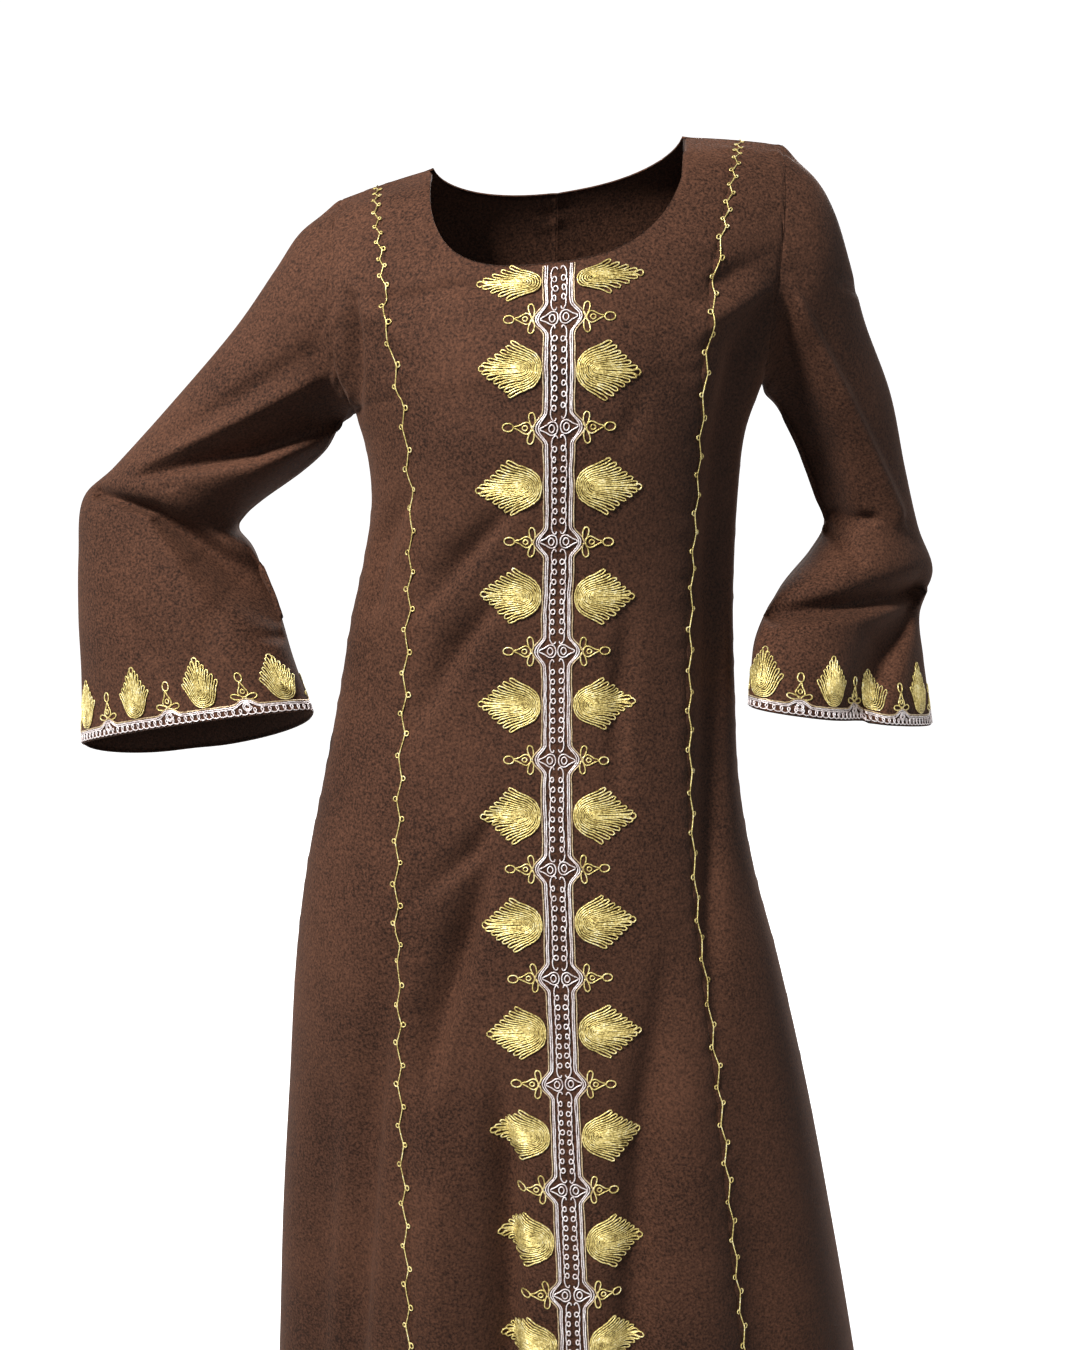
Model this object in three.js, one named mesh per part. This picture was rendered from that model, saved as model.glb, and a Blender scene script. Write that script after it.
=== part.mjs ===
// A long A-line kaftan in the hollow form that it has when it is worn with both hands on the hips.
// It is cut from a centre front, two side fronts joined to it by seams that run from the shoulders to
// the hem, a back in two halves with a seam down the middle, and two set-in sleeves that widen below
// the elbow. Corded braid lies down the front and round the cuffs. Each cut piece is a thin closed wall
// of its own, one seam gap from the next.
//
// Millimetres, +Z up, -Y to the front of the garment, +X to the wearer's left. The origin is in the
// middle of the neck opening, at the height where the shoulders carry the cloth.
import * as THREE from "three";

const WALL = 1.5; // cloth thickness
const SEAM_GAP = 0.3; // clear gap where two pieces are sewn together
const UNDERARM = -200; // level of the lowest point of the armholes
const SHOULDER = 50; // level of the shoulder seams: above the underarm a level runs up over the chest
const SQUARENESS = 2.2; // a horizontal section is this superellipse: 2 is an ellipse
const ROUND = 1 / SQUARENESS; // power of a section that closes round the side seam

// The neckline is half a superellipse at the front and half at the back, both ending at the shoulder
// seams. The square values are their powers, and the front's is squarer on the wearer's right.
const NECK = {
  halfWidth: 107,
  top: 8,
  frontDrop: 111,
  backDrop: 25,
  squareRight: 3.1,
  squareLeft: 2.35,
  squareBack: 2,
};

// Columns of a piece are numbered across the body: 0 the middle, 1 the princess seam, 2 the side seam
// or armhole, negative on the wearer's right. The neckline spans the columns nearer than NECK_COLUMN.
const NECK_COLUMN = 0.78;
const CENTRE_COLUMNS = [0, 0.195, 0.39, 0.585, NECK_COLUMN, 0.89, 1];
const SIDE_COLUMNS = [1, 1.2, 1.4, 1.6, 1.8, 2];
const SKIRT_LEVELS = [
  -1400, -1280, -1165, -1060, -965, -880, -800, -730, -665, -605, -550, -500,
  -460, -425, -393, -362, -331, -300, -268, -234, -200,
];
const YOKE_ROWS = 14;

// The corded braid down the front: a band with a leaf on each side, and a smaller node between leaves.
// A tip is how far a motif reaches from the middle, a root how far it does at its two ends, and a half
// is half its height. lift is the clear gap over the cloth.
const BRAID = {
  thickness: 1.3,
  lift: 1.5,
  core: 10,
  band: 13,
  leafTip: 70,
  leafRoot: 34,
  leafHalf: 23,
  nodeTip: 46,
  nodeRoot: 27,
  nodeHalf: 13,
  top: -105,
  foot: -1398,
  firstLeaf: -119,
  firstLeafHalf: 13,
  firstNode: -148,
  leaves: -188,
  pitch: 90,
  repeats: 14,
};

// The same braid round a cuff, measured up from the cuff's edge.
const CUFF = {
  lift: 1.8,
  edge: 1.5,
  core: 11,
  band: 13,
  leafTip: 60,
  leafRoot: 31,
  leafHalf: 16,
  nodeTip: 36,
  nodeHalf: 11,
  repeats: 8,
};
const MOTIF_STEP = 1; // run over which the band's edge steps out to a motif's root

function table(columns, rows) {
  return rows.map((row) =>
    Object.fromEntries(columns.map((name, i) => [name, row[i]])),
  );
}

// Horizontal sections from the hem up to the underarm. right and left are the side seams, seamRight and
// seamLeft the princess seams, front and back the depth at the middle, and rise is how much a section
// climbs for each millimetre towards the wearer's left.
const BODY = table(
  "level middle right left front back seamRight seamLeft rise".split(" "),
  [
    [-1400, 24, -280, 338, -196, 186, -116, 214, 0],
    [-1230, 18, -273, 310, -182, 170, -119, 188, 0],
    [-1067, 15, -265, 282, -167, 156, -122, 168, 0],
    [-947, 12, -259, 259, -157, 146, -124, 151, 0],
    [-826, 7, -250, 234, -146, 137, -129, 137, 0],
    [-707, 3, -241, 205, -137, 128, -132, 125, 0],
    [-621, 0, -229, 181, -128, 120, -133, 117, 0],
    [-540, -1, -212, 166, -117, 104, -131, 112, 0],
    [-461, -1, -196, 161, -108, 84, -127, 110, 0],
    [-393, -1, -184, 158, -108, 74, -123, 110, 0.005],
    [-339, 0, -172, 158, -113, 78, -120, 111, 0.02],
    [-286, 0, -164, 160, -123, 86, -119, 113, 0.04],
    [-240, 0, -167, 165, -131, 94, -121, 114, 0.06],
    [-200, 0, -177, 180, -131, 98, -124, 115, 0.078],
  ],
);

// Sections above the underarm. They rise over the chest and the shoulder blades to the shoulder seam:
// edgeZ is the height at the armhole, middleZ at the middle, fore and aft the depth of the armhole's
// front and back edges, and power how flat the section is, from round at the underarm to 1.
const YOKE = table(
  "level middle right left edgeZ middleZ fore aft front back seamRight seamLeft power rise".split(
    " ",
  ),
  [
    [-200, 0, -177, 180, -200, -200, 0, 0, -131, 98, -124, 115, ROUND, 0.078],
    [-175, 0, -178, 178, -193, -186, -30, 30, -132, 100, -127, 116, 0.6, 0.084],
    [-138, 0, -187, 179, -165, -158, -52, 55, -127, 101, -130, 118, 0.8, 0.093],
    [-88, 0, -192, 183, -120, -118, -62, 66, -115, 97, -136, 124, 1, 0.105],
    [-38, 0, -191, 187, -78, -75, -56, 58, -94, 84, -142, 133, 1, 0.114],
    [12, 0, -189, 190, -34, -20, -33, 34, -54, 50, -149, 145, 1, 0.119],
    [50, 0, -187, 193, -10, 14, 0, 0, 0, 0, -152, 154, 1, 0.119],
  ],
);

// Sleeve rings, from just below the armhole to the cuff. Each is a closed curve through four points:
// its outer and inner edge, and a point fore and aft of the middle of those, lifted by foreRise or
// aftRise.
const RING_COLUMNS =
  "outX outY outZ inX inY inZ fore foreRise aft aftRise".split(" ");
const RIGHT_RINGS = table(RING_COLUMNS, [
  [-220, 3, -59, -193, 8, -224, 59, 0, 59, 0],
  [-245, 7, -91, -207, 10, -246, 58, 0, 58, 0],
  [-284, 14, -141, -230, 10, -266, 56, 2, 56, -2],
  [-346, 24, -206, -266, 14, -290, 55, 2, 56, -4],
  [-400, 34, -259, -284, 20, -304, 56, 2, 58, -6],
  [-434, 42, -289, -290, 24, -316, 58, 0, 60, -6],
  [-440, 40, -341, -274, 14, -335, 62, -2, 60, -6],
  [-442, 38, -397, -251, -2, -386, 66, 0, 62, -8],
  [-441, 34, -452, -236, -18, -427, 62, 6, 60, -16],
  [-442, 28, -517, -216, -36, -475, 56, 13, 56, -28],
]);
const LEFT_RINGS = table(RING_COLUMNS, [
  [220, 2, -15, 182, 2, -190, 59, 0, 59, 0],
  [239, 6, -43, 186, 6, -198, 58, 0, 58, 0],
  [256, 16, -84, 198, 12, -209, 54, 2, 56, -2],
  [274, 30, -132, 216, 22, -237, 52, 2, 56, -4],
  [304, 48, -193, 228, 34, -259, 52, 0, 57, -4],
  [324, 64, -258, 241, 46, -286, 52, -2, 58, -4],
  [343, 80, -314, 252, 54, -311, 56, -4, 60, -2],
  [360, 84, -356, 236, 38, -336, 62, -4, 62, 0],
  [347, 76, -397, 202, 8, -369, 64, -2, 62, -4],
  [349, 64, -437, 178, -20, -407, 62, 0, 60, -6],
  [352, 54, -470, 170, -42, -437, 58, 2, 58, -8],
  [354, 44, -499, 166, -60, -466, 54, 2, 56, -8],
]);
const SLEEVE_ROWS = 25;

// Folds of the body and the sleeves, each a line through some points of the front (-1) or back (1) view.
// width is how far it fades out to the right of someone who walks along it, sharp is the share of that
// to their left, and depth is how far it stands proud, or lies deep where it is negative.
const FOLD_COLUMNS = "fold face x z width sharp depth".split(" ");
const BODY_FOLDS = table(FOLD_COLUMNS, [
  [1, -1, 180, -115, 12, 0.6, 6],
  [1, -1, 123, -148, 14, 0.6, 6],
  [1, -1, 104, -167, 14, 0.6, 1],
  [2, -1, 179, -139, 16, 0.8, -9],
  [2, -1, 152, -200, 18, 0.8, -9],
  [2, -1, 140, -340, 18, 0.8, -9],
  [2, -1, 150, -540, 18, 0.8, -2],
  [3, -1, -190, -125, 12, 1, 4],
  [3, -1, -171, -158, 14, 1, 6],
  [3, -1, -131, -172, 14, 1, 2],
  [4, -1, -155, -163, 12, 0.8, -5],
  [4, -1, -176, -216, 14, 0.8, -10],
  [5, -1, -122, -284, 14, 0.8, -2],
  [5, -1, -146, -323, 16, 0.8, -8],
  [5, -1, -158, -400, 16, 0.8, -3],
  [6, -1, -100, -300, 14, 1, -4],
  [6, -1, -114, -340, 14, 1, -6],
  [6, -1, -126, -380, 16, 1, -3],
  [7, -1, -104, -376, 14, 1, -3],
  [7, -1, -126, -414, 18, 1, -6],
  [7, -1, -158, -480, 16, 1, -3],
  [8, -1, -98, -600, 18, 1, -4],
  [8, -1, -120, -661, 22, 1, -9],
  [8, -1, -150, -727, 22, 1, -9],
  [8, -1, -168, -780, 20, 1, -3],
  [9, -1, -84, -800, 16, 1, -2],
  [9, -1, -86, -900, 18, 1, -11],
  [9, -1, -88, -1400, 18, 1, -12],
  [10, -1, -140, -667, 16, 0.8, -3],
  [10, -1, -165, -820, 26, 0.8, -11],
  [10, -1, -206, -1400, 32, 0.8, -13],
  [11, -1, -124, -748, 14, 1, 2],
  [11, -1, -99, -857, 24, 1, 8],
  [11, -1, -104, -1400, 30, 1, 11],
  [12, -1, 108, -669, 14, 1, -2],
  [12, -1, 106, -803, 16, 1, -6],
  [12, -1, 112, -1400, 20, 1, -9],
  [13, -1, 134, -627, 16, 1, 2],
  [13, -1, 122, -797, 24, 1, 8],
  [13, -1, 152, -1400, 34, 1, 11],
  [14, -1, 162, -724, 16, 1, -3],
  [14, -1, 184, -893, 22, 1, -8],
  [14, -1, 236, -1400, 28, 1, -10],
  [15, 1, -150, -600, 30, 1, 0],
  [15, 1, -165, -900, 42, 1, -12],
  [15, 1, -190, -1400, 46, 1, -16],
  [16, 1, -62, -560, 30, 1, 0],
  [16, 1, -66, -860, 42, 1, 11],
  [16, 1, -74, -1400, 46, 1, 14],
  [17, 1, 26, -580, 28, 1, 0],
  [17, 1, 34, -900, 38, 1, -13],
  [17, 1, 44, -1400, 44, 1, -16],
  [18, 1, 122, -600, 30, 1, 0],
  [18, 1, 138, -900, 40, 1, 11],
  [18, 1, 162, -1400, 46, 1, 14],
  [19, 1, 178, -720, 26, 1, 0],
  [19, 1, 204, -1000, 34, 1, -9],
  [19, 1, 242, -1400, 38, 1, -12],
  [20, 1, -128, -330, 14, 1, -1],
  [20, 1, -50, -384, 18, 1, -6],
  [20, 1, 14, -404, 16, 1, 0],
  [21, 1, 132, -318, 14, 1, -1],
  [21, 1, 66, -352, 18, 1, -6],
  [21, 1, 12, -362, 16, 1, 0],
]);
const SLEEVE_FOLDS = table(FOLD_COLUMNS, [
  [1, -1, -175, -214, 18, 0.8, -14],
  [1, -1, -263, -249, 18, 0.8, -14],
  [1, -1, -363, -271, 12, 0.8, -4],
  [2, -1, -214, -246, 12, 1, 2],
  [2, -1, -262, -268, 16, 1, 8],
  [2, -1, -320, -278, 12, 1, 3],
  [3, -1, -238, -376, 20, 0.7, -16],
  [3, -1, -272, -356, 22, 0.7, -17],
  [3, -1, -311, -328, 18, 0.7, -17],
  [3, -1, -409, -286, 14, 0.7, -12],
  [4, 1, -424, -270, 14, 0.7, -9],
  [4, 1, -340, -316, 18, 0.7, -12],
  [4, 1, -250, -362, 16, 0.7, -7],
  [5, 1, -180, -200, 16, 1, -6],
  [5, 1, -256, -246, 16, 1, -8],
  [5, 1, -350, -280, 12, 1, -3],
  [6, 1, -360, -360, 18, 1, 0],
  [6, 1, -346, -560, 26, 1, 8],
  [7, -1, 184, -124, 14, 0.8, -5],
  [7, -1, 205, -195, 18, 0.8, -8],
  [7, -1, 230, -251, 18, 0.8, -8],
  [7, -1, 252, -300, 14, 0.8, -5],
  [8, -1, 192, -112, 12, 0.8, 3],
  [8, -1, 251, -204, 16, 0.8, 7],
  [8, -1, 312, -301, 14, 0.8, 5],
  [9, -1, 342, -366, 16, 0.7, -14],
  [9, -1, 296, -374, 15, 0.7, -14],
  [9, -1, 258, -380, 13, 0.7, -13],
  [9, -1, 191, -391, 12, 0.7, -10],
  [10, -1, 330, -408, 16, 1, -3],
  [10, -1, 320, -430, 16, 1, -5],
  [10, -1, 306, -469, 16, 1, -5],
  [11, 1, 352, -344, 14, 0.7, -9],
  [11, 1, 280, -366, 18, 0.7, -12],
  [11, 1, 196, -378, 14, 0.7, -7],
  [12, 1, 196, -130, 14, 1, -6],
  [12, 1, 262, -230, 16, 1, -7],
  [12, 1, 316, -310, 12, 1, -3],
  [13, 1, 296, -390, 16, 1, 0],
  [13, 1, 282, -520, 24, 1, 7],
]);

// Cubic through a table's rows at one place along its first column, for every column at once.
function sample(rows, key, at) {
  const last = rows.length - 1;
  let i = 0;
  while (i < last - 1 && at > rows[i + 1][key]) i++;
  const slope = (column, j) => {
    const a = rows[Math.max(0, j - 1)];
    const b = rows[Math.min(last, j + 1)];
    return (b[column] - a[column]) / (b[key] - a[key]);
  };
  const span = rows[i + 1][key] - rows[i][key];
  const t = (at - rows[i][key]) / span;
  const made = {};
  for (const column of Object.keys(rows[0])) {
    const a = rows[i][column];
    const b = rows[i + 1][column];
    made[column] =
      a * (1 + 2 * t) * (1 - t) ** 2 +
      b * t * t * (3 - 2 * t) +
      slope(column, i) * span * t * (1 - t) ** 2 -
      slope(column, i + 1) * span * t * t * (1 - t);
  }
  return made;
}

function section(level) {
  if (level > UNDERARM) return sample(YOKE, "level", level);
  const s = sample(BODY, "level", level);
  return { ...s, edgeZ: level, middleZ: level, fore: 0, aft: 0, power: ROUND };
}

// A point of the smooth body. face is -1 at the front and 1 at the back, and angle goes from a quarter
// turn negative at the wearer's right edge to a quarter turn positive at the left.
function smoothPoint(face, angle, level) {
  if (level > SHOULDER) return smoothPoint(-face, angle, 2 * SHOULDER - level);
  if (Math.abs(angle) > Math.PI / 2)
    return smoothPoint(-face, Math.sign(angle) * Math.PI - angle, level);
  const s = section(level);
  const share = Math.sin(Math.abs(angle));
  const dome = Math.max(0, 1 - share ** SQUARENESS) ** s.power;
  const edgeY = face < 0 ? s.fore : s.aft;
  const middleY = face < 0 ? s.front : s.back;
  const x = s.middle + ((angle < 0 ? s.right : s.left) - s.middle) * share;
  const z = s.edgeZ + (s.middleZ - s.edgeZ) * (1 - share * share);
  return new THREE.Vector3(x, edgeY + (middleY - edgeY) * dome, z + x * s.rise);
}

// How far the folds move the cloth at p. Of each fold, only the stretch nearest to p counts.
function foldHeight(folds, face, p) {
  const nearest = new Map();
  folds.slice(1).forEach((end, i) => {
    const start = folds[i];
    if (start.fold !== end.fold || start.face !== face) return;
    const run = new THREE.Vector2(end.x - start.x, end.z - start.z);
    const from = new THREE.Vector2(p.x - start.x, p.z - start.z);
    const along = THREE.MathUtils.clamp(from.dot(run) / run.lengthSq(), 0, 1);
    const share = from.cross(run) > 0 ? 1 : start.sharp;
    const away = from.addScaledVector(run, -along).length();
    if (away >= (nearest.get(end.fold)?.away ?? Infinity)) return;
    const width = THREE.MathUtils.lerp(start.width, end.width, along) * share;
    const depth = THREE.MathUtils.lerp(start.depth, end.depth, along);
    nearest.set(end.fold, { away, height: depth * Math.exp(-((away / width) ** 2)) });
  });
  return [...nearest.values()].reduce((sum, fold) => sum + fold.height, 0);
}

// The normal of a surface at (u, v), from its points a step to each side of that place.
function normalOf(surface, u, v, stepU, stepV, sense) {
  const across = surface(u + stepU[1], v).sub(surface(u - stepU[0], v));
  const up = surface(u, v + stepV[1]).sub(surface(u, v - stepV[0]));
  return across.cross(up).multiplyScalar(sense).normalize();
}

const ANGLE_STEP = 0.01;
const LEVEL_STEP = 1;

function bodySteps(angle, level) {
  const atArmhole =
    level > UNDERARM && Math.abs(angle) > Math.PI / 2 - ANGLE_STEP;
  const across = [ANGLE_STEP, ANGLE_STEP];
  if (atArmhole) across[angle > 0 ? 1 : 0] = 0;
  return [across, [LEVEL_STEP, LEVEL_STEP]];
}

const SIDE_CALM = 8; // power with which the body's folds die away towards a side seam
const FOLD_FOCUS = 200; // the body's folds stand away from a line this far behind the middle

function bodyPoint(face, angle, level) {
  const p = smoothPoint(face, angle, level);
  if (level > SHOULDER || Math.abs(angle) > Math.PI / 2) return p;
  const calm = 1 - Math.sin(Math.abs(angle)) ** SIDE_CALM;
  const height = calm * foldHeight(BODY_FOLDS, face, p);
  const out = new THREE.Vector3(p.x, face * FOLD_FOCUS, 0).normalize();
  return p.addScaledVector(out, height);
}

function bodyNormal(face, angle, level) {
  const surface = (a, l) => bodyPoint(face, a, l);
  return normalOf(surface, angle, level, ...bodySteps(angle, level), -face);
}

// The angle of a column at a level. reach is its column number, or what the neckline's fan makes of it.
function columnAngle(side, reach, level) {
  const s = section(level);
  const half = (side < 0 ? s.right : s.left) - s.middle;
  const seam = ((side < 0 ? s.seamRight : s.seamLeft) - s.middle) / half;
  if (reach <= 1) return side * Math.asin(reach * seam);
  const princess = Math.asin(seam);
  return side * THREE.MathUtils.lerp(princess, Math.PI / 2, reach - 1);
}

const HALVINGS = 30;

// The level at which a point x from the middle lies at height z, before the section's rise.
function levelAt(side, x, z) {
  let low = UNDERARM;
  let high = SHOULDER;
  for (let i = 0; i < HALVINGS; i++) {
    const level = (low + high) / 2;
    const s = section(level);
    const share = Math.min(1, x / Math.abs(side < 0 ? s.right : s.left));
    const height = s.edgeZ + (s.middleZ - s.edgeZ) * (1 - share * share);
    if (height < z) low = level;
    else high = level;
  }
  return (low + high) / 2;
}

// Where a column ends: on the neckline if it is near the middle, and otherwise at the shoulder seam.
function columnTop(face, side, column) {
  const seamAt = (level) =>
    Math.abs(side < 0 ? section(level).seamRight : section(level).seamLeft);
  if (column > 1) return { level: SHOULDER, reach: column };
  if (column >= NECK_COLUMN) {
    const share = (column - NECK_COLUMN) / (1 - NECK_COLUMN);
    const x = THREE.MathUtils.lerp(NECK.halfWidth, seamAt(SHOULDER), share);
    return { level: SHOULDER, reach: x / seamAt(SHOULDER) };
  }
  const turn = ((column / NECK_COLUMN) * Math.PI) / 2;
  const frontSquare = side < 0 ? NECK.squareRight : NECK.squareLeft;
  const square = face < 0 ? frontSquare : NECK.squareBack;
  const drop = face < 0 ? NECK.frontDrop : NECK.backDrop;
  const x = NECK.halfWidth * Math.sin(turn) ** (2 / square);
  const level = levelAt(side, x, NECK.top - drop * Math.cos(turn) ** (2 / square));
  return { level, reach: x / seamAt(level) };
}

// Rows of a body piece, from the hem up: a level below the underarm, then a share of the way from
// there to the column's top.
function bodyRows() {
  const rows = SKIRT_LEVELS.map((level) => ({ level, share: 0 }));
  for (let i = 1; i <= YOKE_ROWS; i++)
    rows.push({ level: UNDERARM, share: i / YOKE_ROWS });
  return rows;
}

function bodyPlace(face, column, row) {
  const side = column < 0 ? -1 : 1;
  const top = columnTop(face, side, Math.abs(column));
  const level = row.level + (top.level - UNDERARM) * row.share;
  const reach = THREE.MathUtils.lerp(Math.abs(column), top.reach, row.share);
  return { angle: columnAngle(side, reach, level), level };
}

function armholeLevel(turn) {
  return SHOULDER - (SHOULDER - UNDERARM) * Math.abs(1 - Math.abs(2 * turn - 1));
}

// A sleeve's point. turn goes round it from the shoulder's top (0) by the front (0.25) and the
// underarm (0.5), and row from the armhole (0) to the cuff (1).
function ringPoint(ring, turn) {
  const outer = new THREE.Vector3(ring.outX, ring.outY, ring.outZ);
  const inner = new THREE.Vector3(ring.inX, ring.inY, ring.inZ);
  const middle = outer.clone().add(inner).multiplyScalar(0.5);
  const cosine = Math.cos(2 * Math.PI * turn);
  const sine = Math.sin(2 * Math.PI * turn);
  const depth =
    sine > 0
      ? new THREE.Vector3(0, -ring.fore, ring.foreRise)
      : new THREE.Vector3(0, ring.aft, ring.aftRise);
  return middle
    .clone()
    .addScaledVector(outer.sub(middle), cosine)
    .addScaledVector(depth, Math.abs(sine));
}

const ARMHOLE_CALM = 8; // a sleeve's folds are full one part in this many of the way down it
const EDGE_CALM = 2; // and that many times the sine of the way round from its outer or inner edge

function sleevePoint(side, turn, row) {
  const rings = side < 0 ? RIGHT_RINGS : LEFT_RINGS;
  const round = THREE.MathUtils.euclideanModulo(turn, 1);
  const face = round < 0.5 ? -1 : 1;
  const edge = bodyPoint(face, (side * Math.PI) / 2, armholeLevel(round));
  const points = [
    { row: 0, x: edge.x, y: edge.y, z: edge.z },
    ...rings.map((ring, i) => {
      const { x, y, z } = ringPoint(ring, round);
      return { row: (i + 1) / rings.length, x, y, z };
    }),
  ];
  const s = sample(points, "row", row);
  const p = new THREE.Vector3(s.x, s.y, s.z);
  const edgeCalm = Math.min(1, EDGE_CALM * Math.abs(Math.sin(2 * Math.PI * round)));
  const calm = edgeCalm * Math.min(1, ARMHOLE_CALM * row);
  p.y += face * calm * foldHeight(SLEEVE_FOLDS, face, p);
  return p;
}

const TURN_STEP = 0.005;
const ROW_STEP = 0.005;

function sleeveNormal(side, turn, row) {
  const surface = (t, r) => sleevePoint(side, t, r);
  const steps = [row < ROW_STEP ? 0 : ROW_STEP, row > 1 - ROW_STEP ? 0 : ROW_STEP];
  return normalOf(surface, turn, row, [TURN_STEP, TURN_STEP], steps, side);
}

// Both walls of an armhole seam end in one mitred face, half way between their own normals.
function armholeNormal(side, turn) {
  const face = turn < 0.5 ? -1 : 1;
  const body = bodyNormal(face, (side * Math.PI) / 2, armholeLevel(turn));
  return body.add(sleeveNormal(side, turn, 0)).normalize();
}

// A closed wall from a grid of outer points and normals. A grid that wraps is a tube, and one that
// doesn't is a sheet with four edges.
function wall(points, normals, wraps, thickness = WALL) {
  const rows = points.length;
  const columns = points[0].length;
  const outer = points.flat();
  const inner = outer.map((p, i) =>
    p.clone().addScaledVector(normals.flat()[i], -thickness),
  );
  const positions = [...outer, ...inner].flatMap((p) => [p.x, p.y, p.z]);
  const index = [];
  const quad = (a, b, c, d) => index.push(a, b, c, a, c, d);
  const at = (row, column, layer) =>
    layer * rows * columns + row * columns + (column % columns);
  const cells = wraps ? columns : columns - 1;
  for (let r = 0; r < rows - 1; r++)
    for (let c = 0; c < cells; c++) {
      quad(at(r, c, 0), at(r, c + 1, 0), at(r + 1, c + 1, 0), at(r + 1, c, 0));
      quad(at(r, c, 1), at(r + 1, c, 1), at(r + 1, c + 1, 1), at(r, c + 1, 1));
    }
  for (let c = 0; c < cells; c++) {
    quad(at(0, c, 0), at(0, c, 1), at(0, c + 1, 1), at(0, c + 1, 0));
    const top = rows - 1;
    quad(at(top, c, 0), at(top, c + 1, 0), at(top, c + 1, 1), at(top, c, 1));
  }
  if (!wraps)
    for (let r = 0; r < rows - 1; r++) {
      const end = columns - 1;
      quad(at(r, 0, 0), at(r + 1, 0, 0), at(r + 1, 0, 1), at(r, 0, 1));
      quad(at(r, end, 0), at(r, end, 1), at(r + 1, end, 1), at(r + 1, end, 0));
    }
  return outwards(positions, index);
}

// A geometry whose faces point out, whichever way round its grid was numbered.
function outwards(positions, index) {
  const corner = (i) => new THREE.Vector3().fromArray(positions, 3 * index[i]);
  let volume = 0;
  for (let i = 0; i < index.length; i += 3)
    volume += corner(i).dot(corner(i + 1).cross(corner(i + 2)));
  if (volume < 0)
    for (let i = 0; i < index.length; i += 3)
      [index[i], index[i + 1]] = [index[i + 1], index[i]];
  const geometry = new THREE.BufferGeometry();
  geometry.setAttribute("position", new THREE.Float32BufferAttribute(positions, 3));
  geometry.setIndex(index);
  geometry.computeVertexNormals();
  return geometry;
}

// Moves a point half a seam gap towards its neighbour inside the piece.
function openSeam(point, neighbour) {
  const inwards = neighbour.clone().sub(point).normalize();
  point.addScaledVector(inwards, SEAM_GAP / 2);
}

function bodyPiece(face, columns) {
  const rows = bodyRows();
  const places = rows.map((row) => columns.map((c) => bodyPlace(face, c, row)));
  const points = places.map((row) =>
    row.map((at) => bodyPoint(face, at.angle, at.level)),
  );
  const normals = places.map((row, r) =>
    row.map((at, c) =>
      Math.abs(columns[c]) === 2 && at.level > UNDERARM
        ? armholeNormal(columns[c] / 2, armholeTurn(face, at.level))
        : bodyNormal(face, at.angle, at.level),
    ),
  );
  const last = columns.length - 1;
  for (const row of points) {
    openSeam(row[0], row[1]);
    openSeam(row[last], row[last - 1]);
  }
  const top = points.length - 1;
  columns.forEach((column, c) => {
    if (Math.abs(column) >= NECK_COLUMN) openSeam(points[top][c], points[top - 1][c]);
  });
  return wall(points, normals, false);
}

function armholeTurn(face, level) {
  const half = (SHOULDER - level) / (SHOULDER - UNDERARM) / 2;
  return face < 0 ? half : 1 - half;
}

function sleevePiece(side) {
  const turns = Array.from({ length: 2 * YOKE_ROWS }, (_, i) => i / (2 * YOKE_ROWS));
  const rows = Array.from({ length: SLEEVE_ROWS + 1 }, (_, i) => i / SLEEVE_ROWS);
  const points = rows.map((row) => turns.map((turn) => sleevePoint(side, turn, row)));
  const normals = rows.map((row) =>
    turns.map((turn) =>
      row === 0 ? armholeNormal(side, turn) : sleeveNormal(side, turn, row),
    ),
  );
  turns.forEach((_, c) => openSeam(points[0][c], points[1][c]));
  return wall(points, normals, true);
}

// The marks along one motif of a braid: its middle, its two ends, and the band's edge just past them.
function motif(at, half, tip, root, band) {
  return [
    { at: at - half - MOTIF_STEP, reach: band },
    { at: at - half, reach: root },
    { at, reach: tip },
    { at: at + half, reach: root },
    { at: at + half + MOTIF_STEP, reach: band },
  ];
}

// The braid of the front is a strip with a scalloped outline. Its marks run from the foot to the top.
function frontBraidMarks() {
  const { band, leafTip, leafRoot, nodeTip, nodeRoot, nodeHalf } = BRAID;
  const marks = [{ at: BRAID.foot, reach: band }];
  const node = (at) => marks.push(...motif(at, nodeHalf, nodeTip, nodeRoot, band));
  const leaf = (at, half) => marks.push(...motif(at, half, leafTip, leafRoot, band));
  for (let i = BRAID.repeats - 1; i >= 0; i--) {
    leaf(BRAID.leaves - BRAID.pitch * i, BRAID.leafHalf);
    if (i > 0) node(BRAID.leaves - BRAID.pitch * (i - 0.5));
  }
  node(BRAID.firstNode);
  leaf(BRAID.firstLeaf, BRAID.firstLeafHalf);
  marks.push({ at: BRAID.top, reach: band });
  return marks;
}

// Where a point of the front lies that is x from the middle and at height z.
function frontPlace(x, z) {
  const side = x < 0 ? -1 : 1;
  const level = z > UNDERARM ? levelAt(side, Math.abs(x), z) : z;
  const s = section(level);
  const half = (side < 0 ? s.right : s.left) - s.middle;
  return { angle: side * Math.asin(Math.abs(x / half)), level };
}

function frontBraid() {
  const marks = frontBraidMarks();
  const places = marks.map(({ at, reach }) => {
    const across = [BRAID.core, (BRAID.core + reach) / 2, reach];
    return [...across.map((x) => -x).reverse(), ...across].map((x) => frontPlace(x, at));
  });
  const normals = places.map((row) => row.map((at) => bodyNormal(-1, at.angle, at.level)));
  const points = places.map((row, r) =>
    row.map((at, c) =>
      bodyPoint(-1, at.angle, at.level).addScaledVector(
        normals[r][c],
        BRAID.lift + BRAID.thickness,
      ),
    ),
  );
  return wall(points, normals, false, BRAID.thickness);
}

const CUFF_STEPS = 240; // chords in which a cuff's edge is measured
const CUFF_SPAN = 0.1; // share of the sleeve over which heights above its edge are measured

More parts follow.
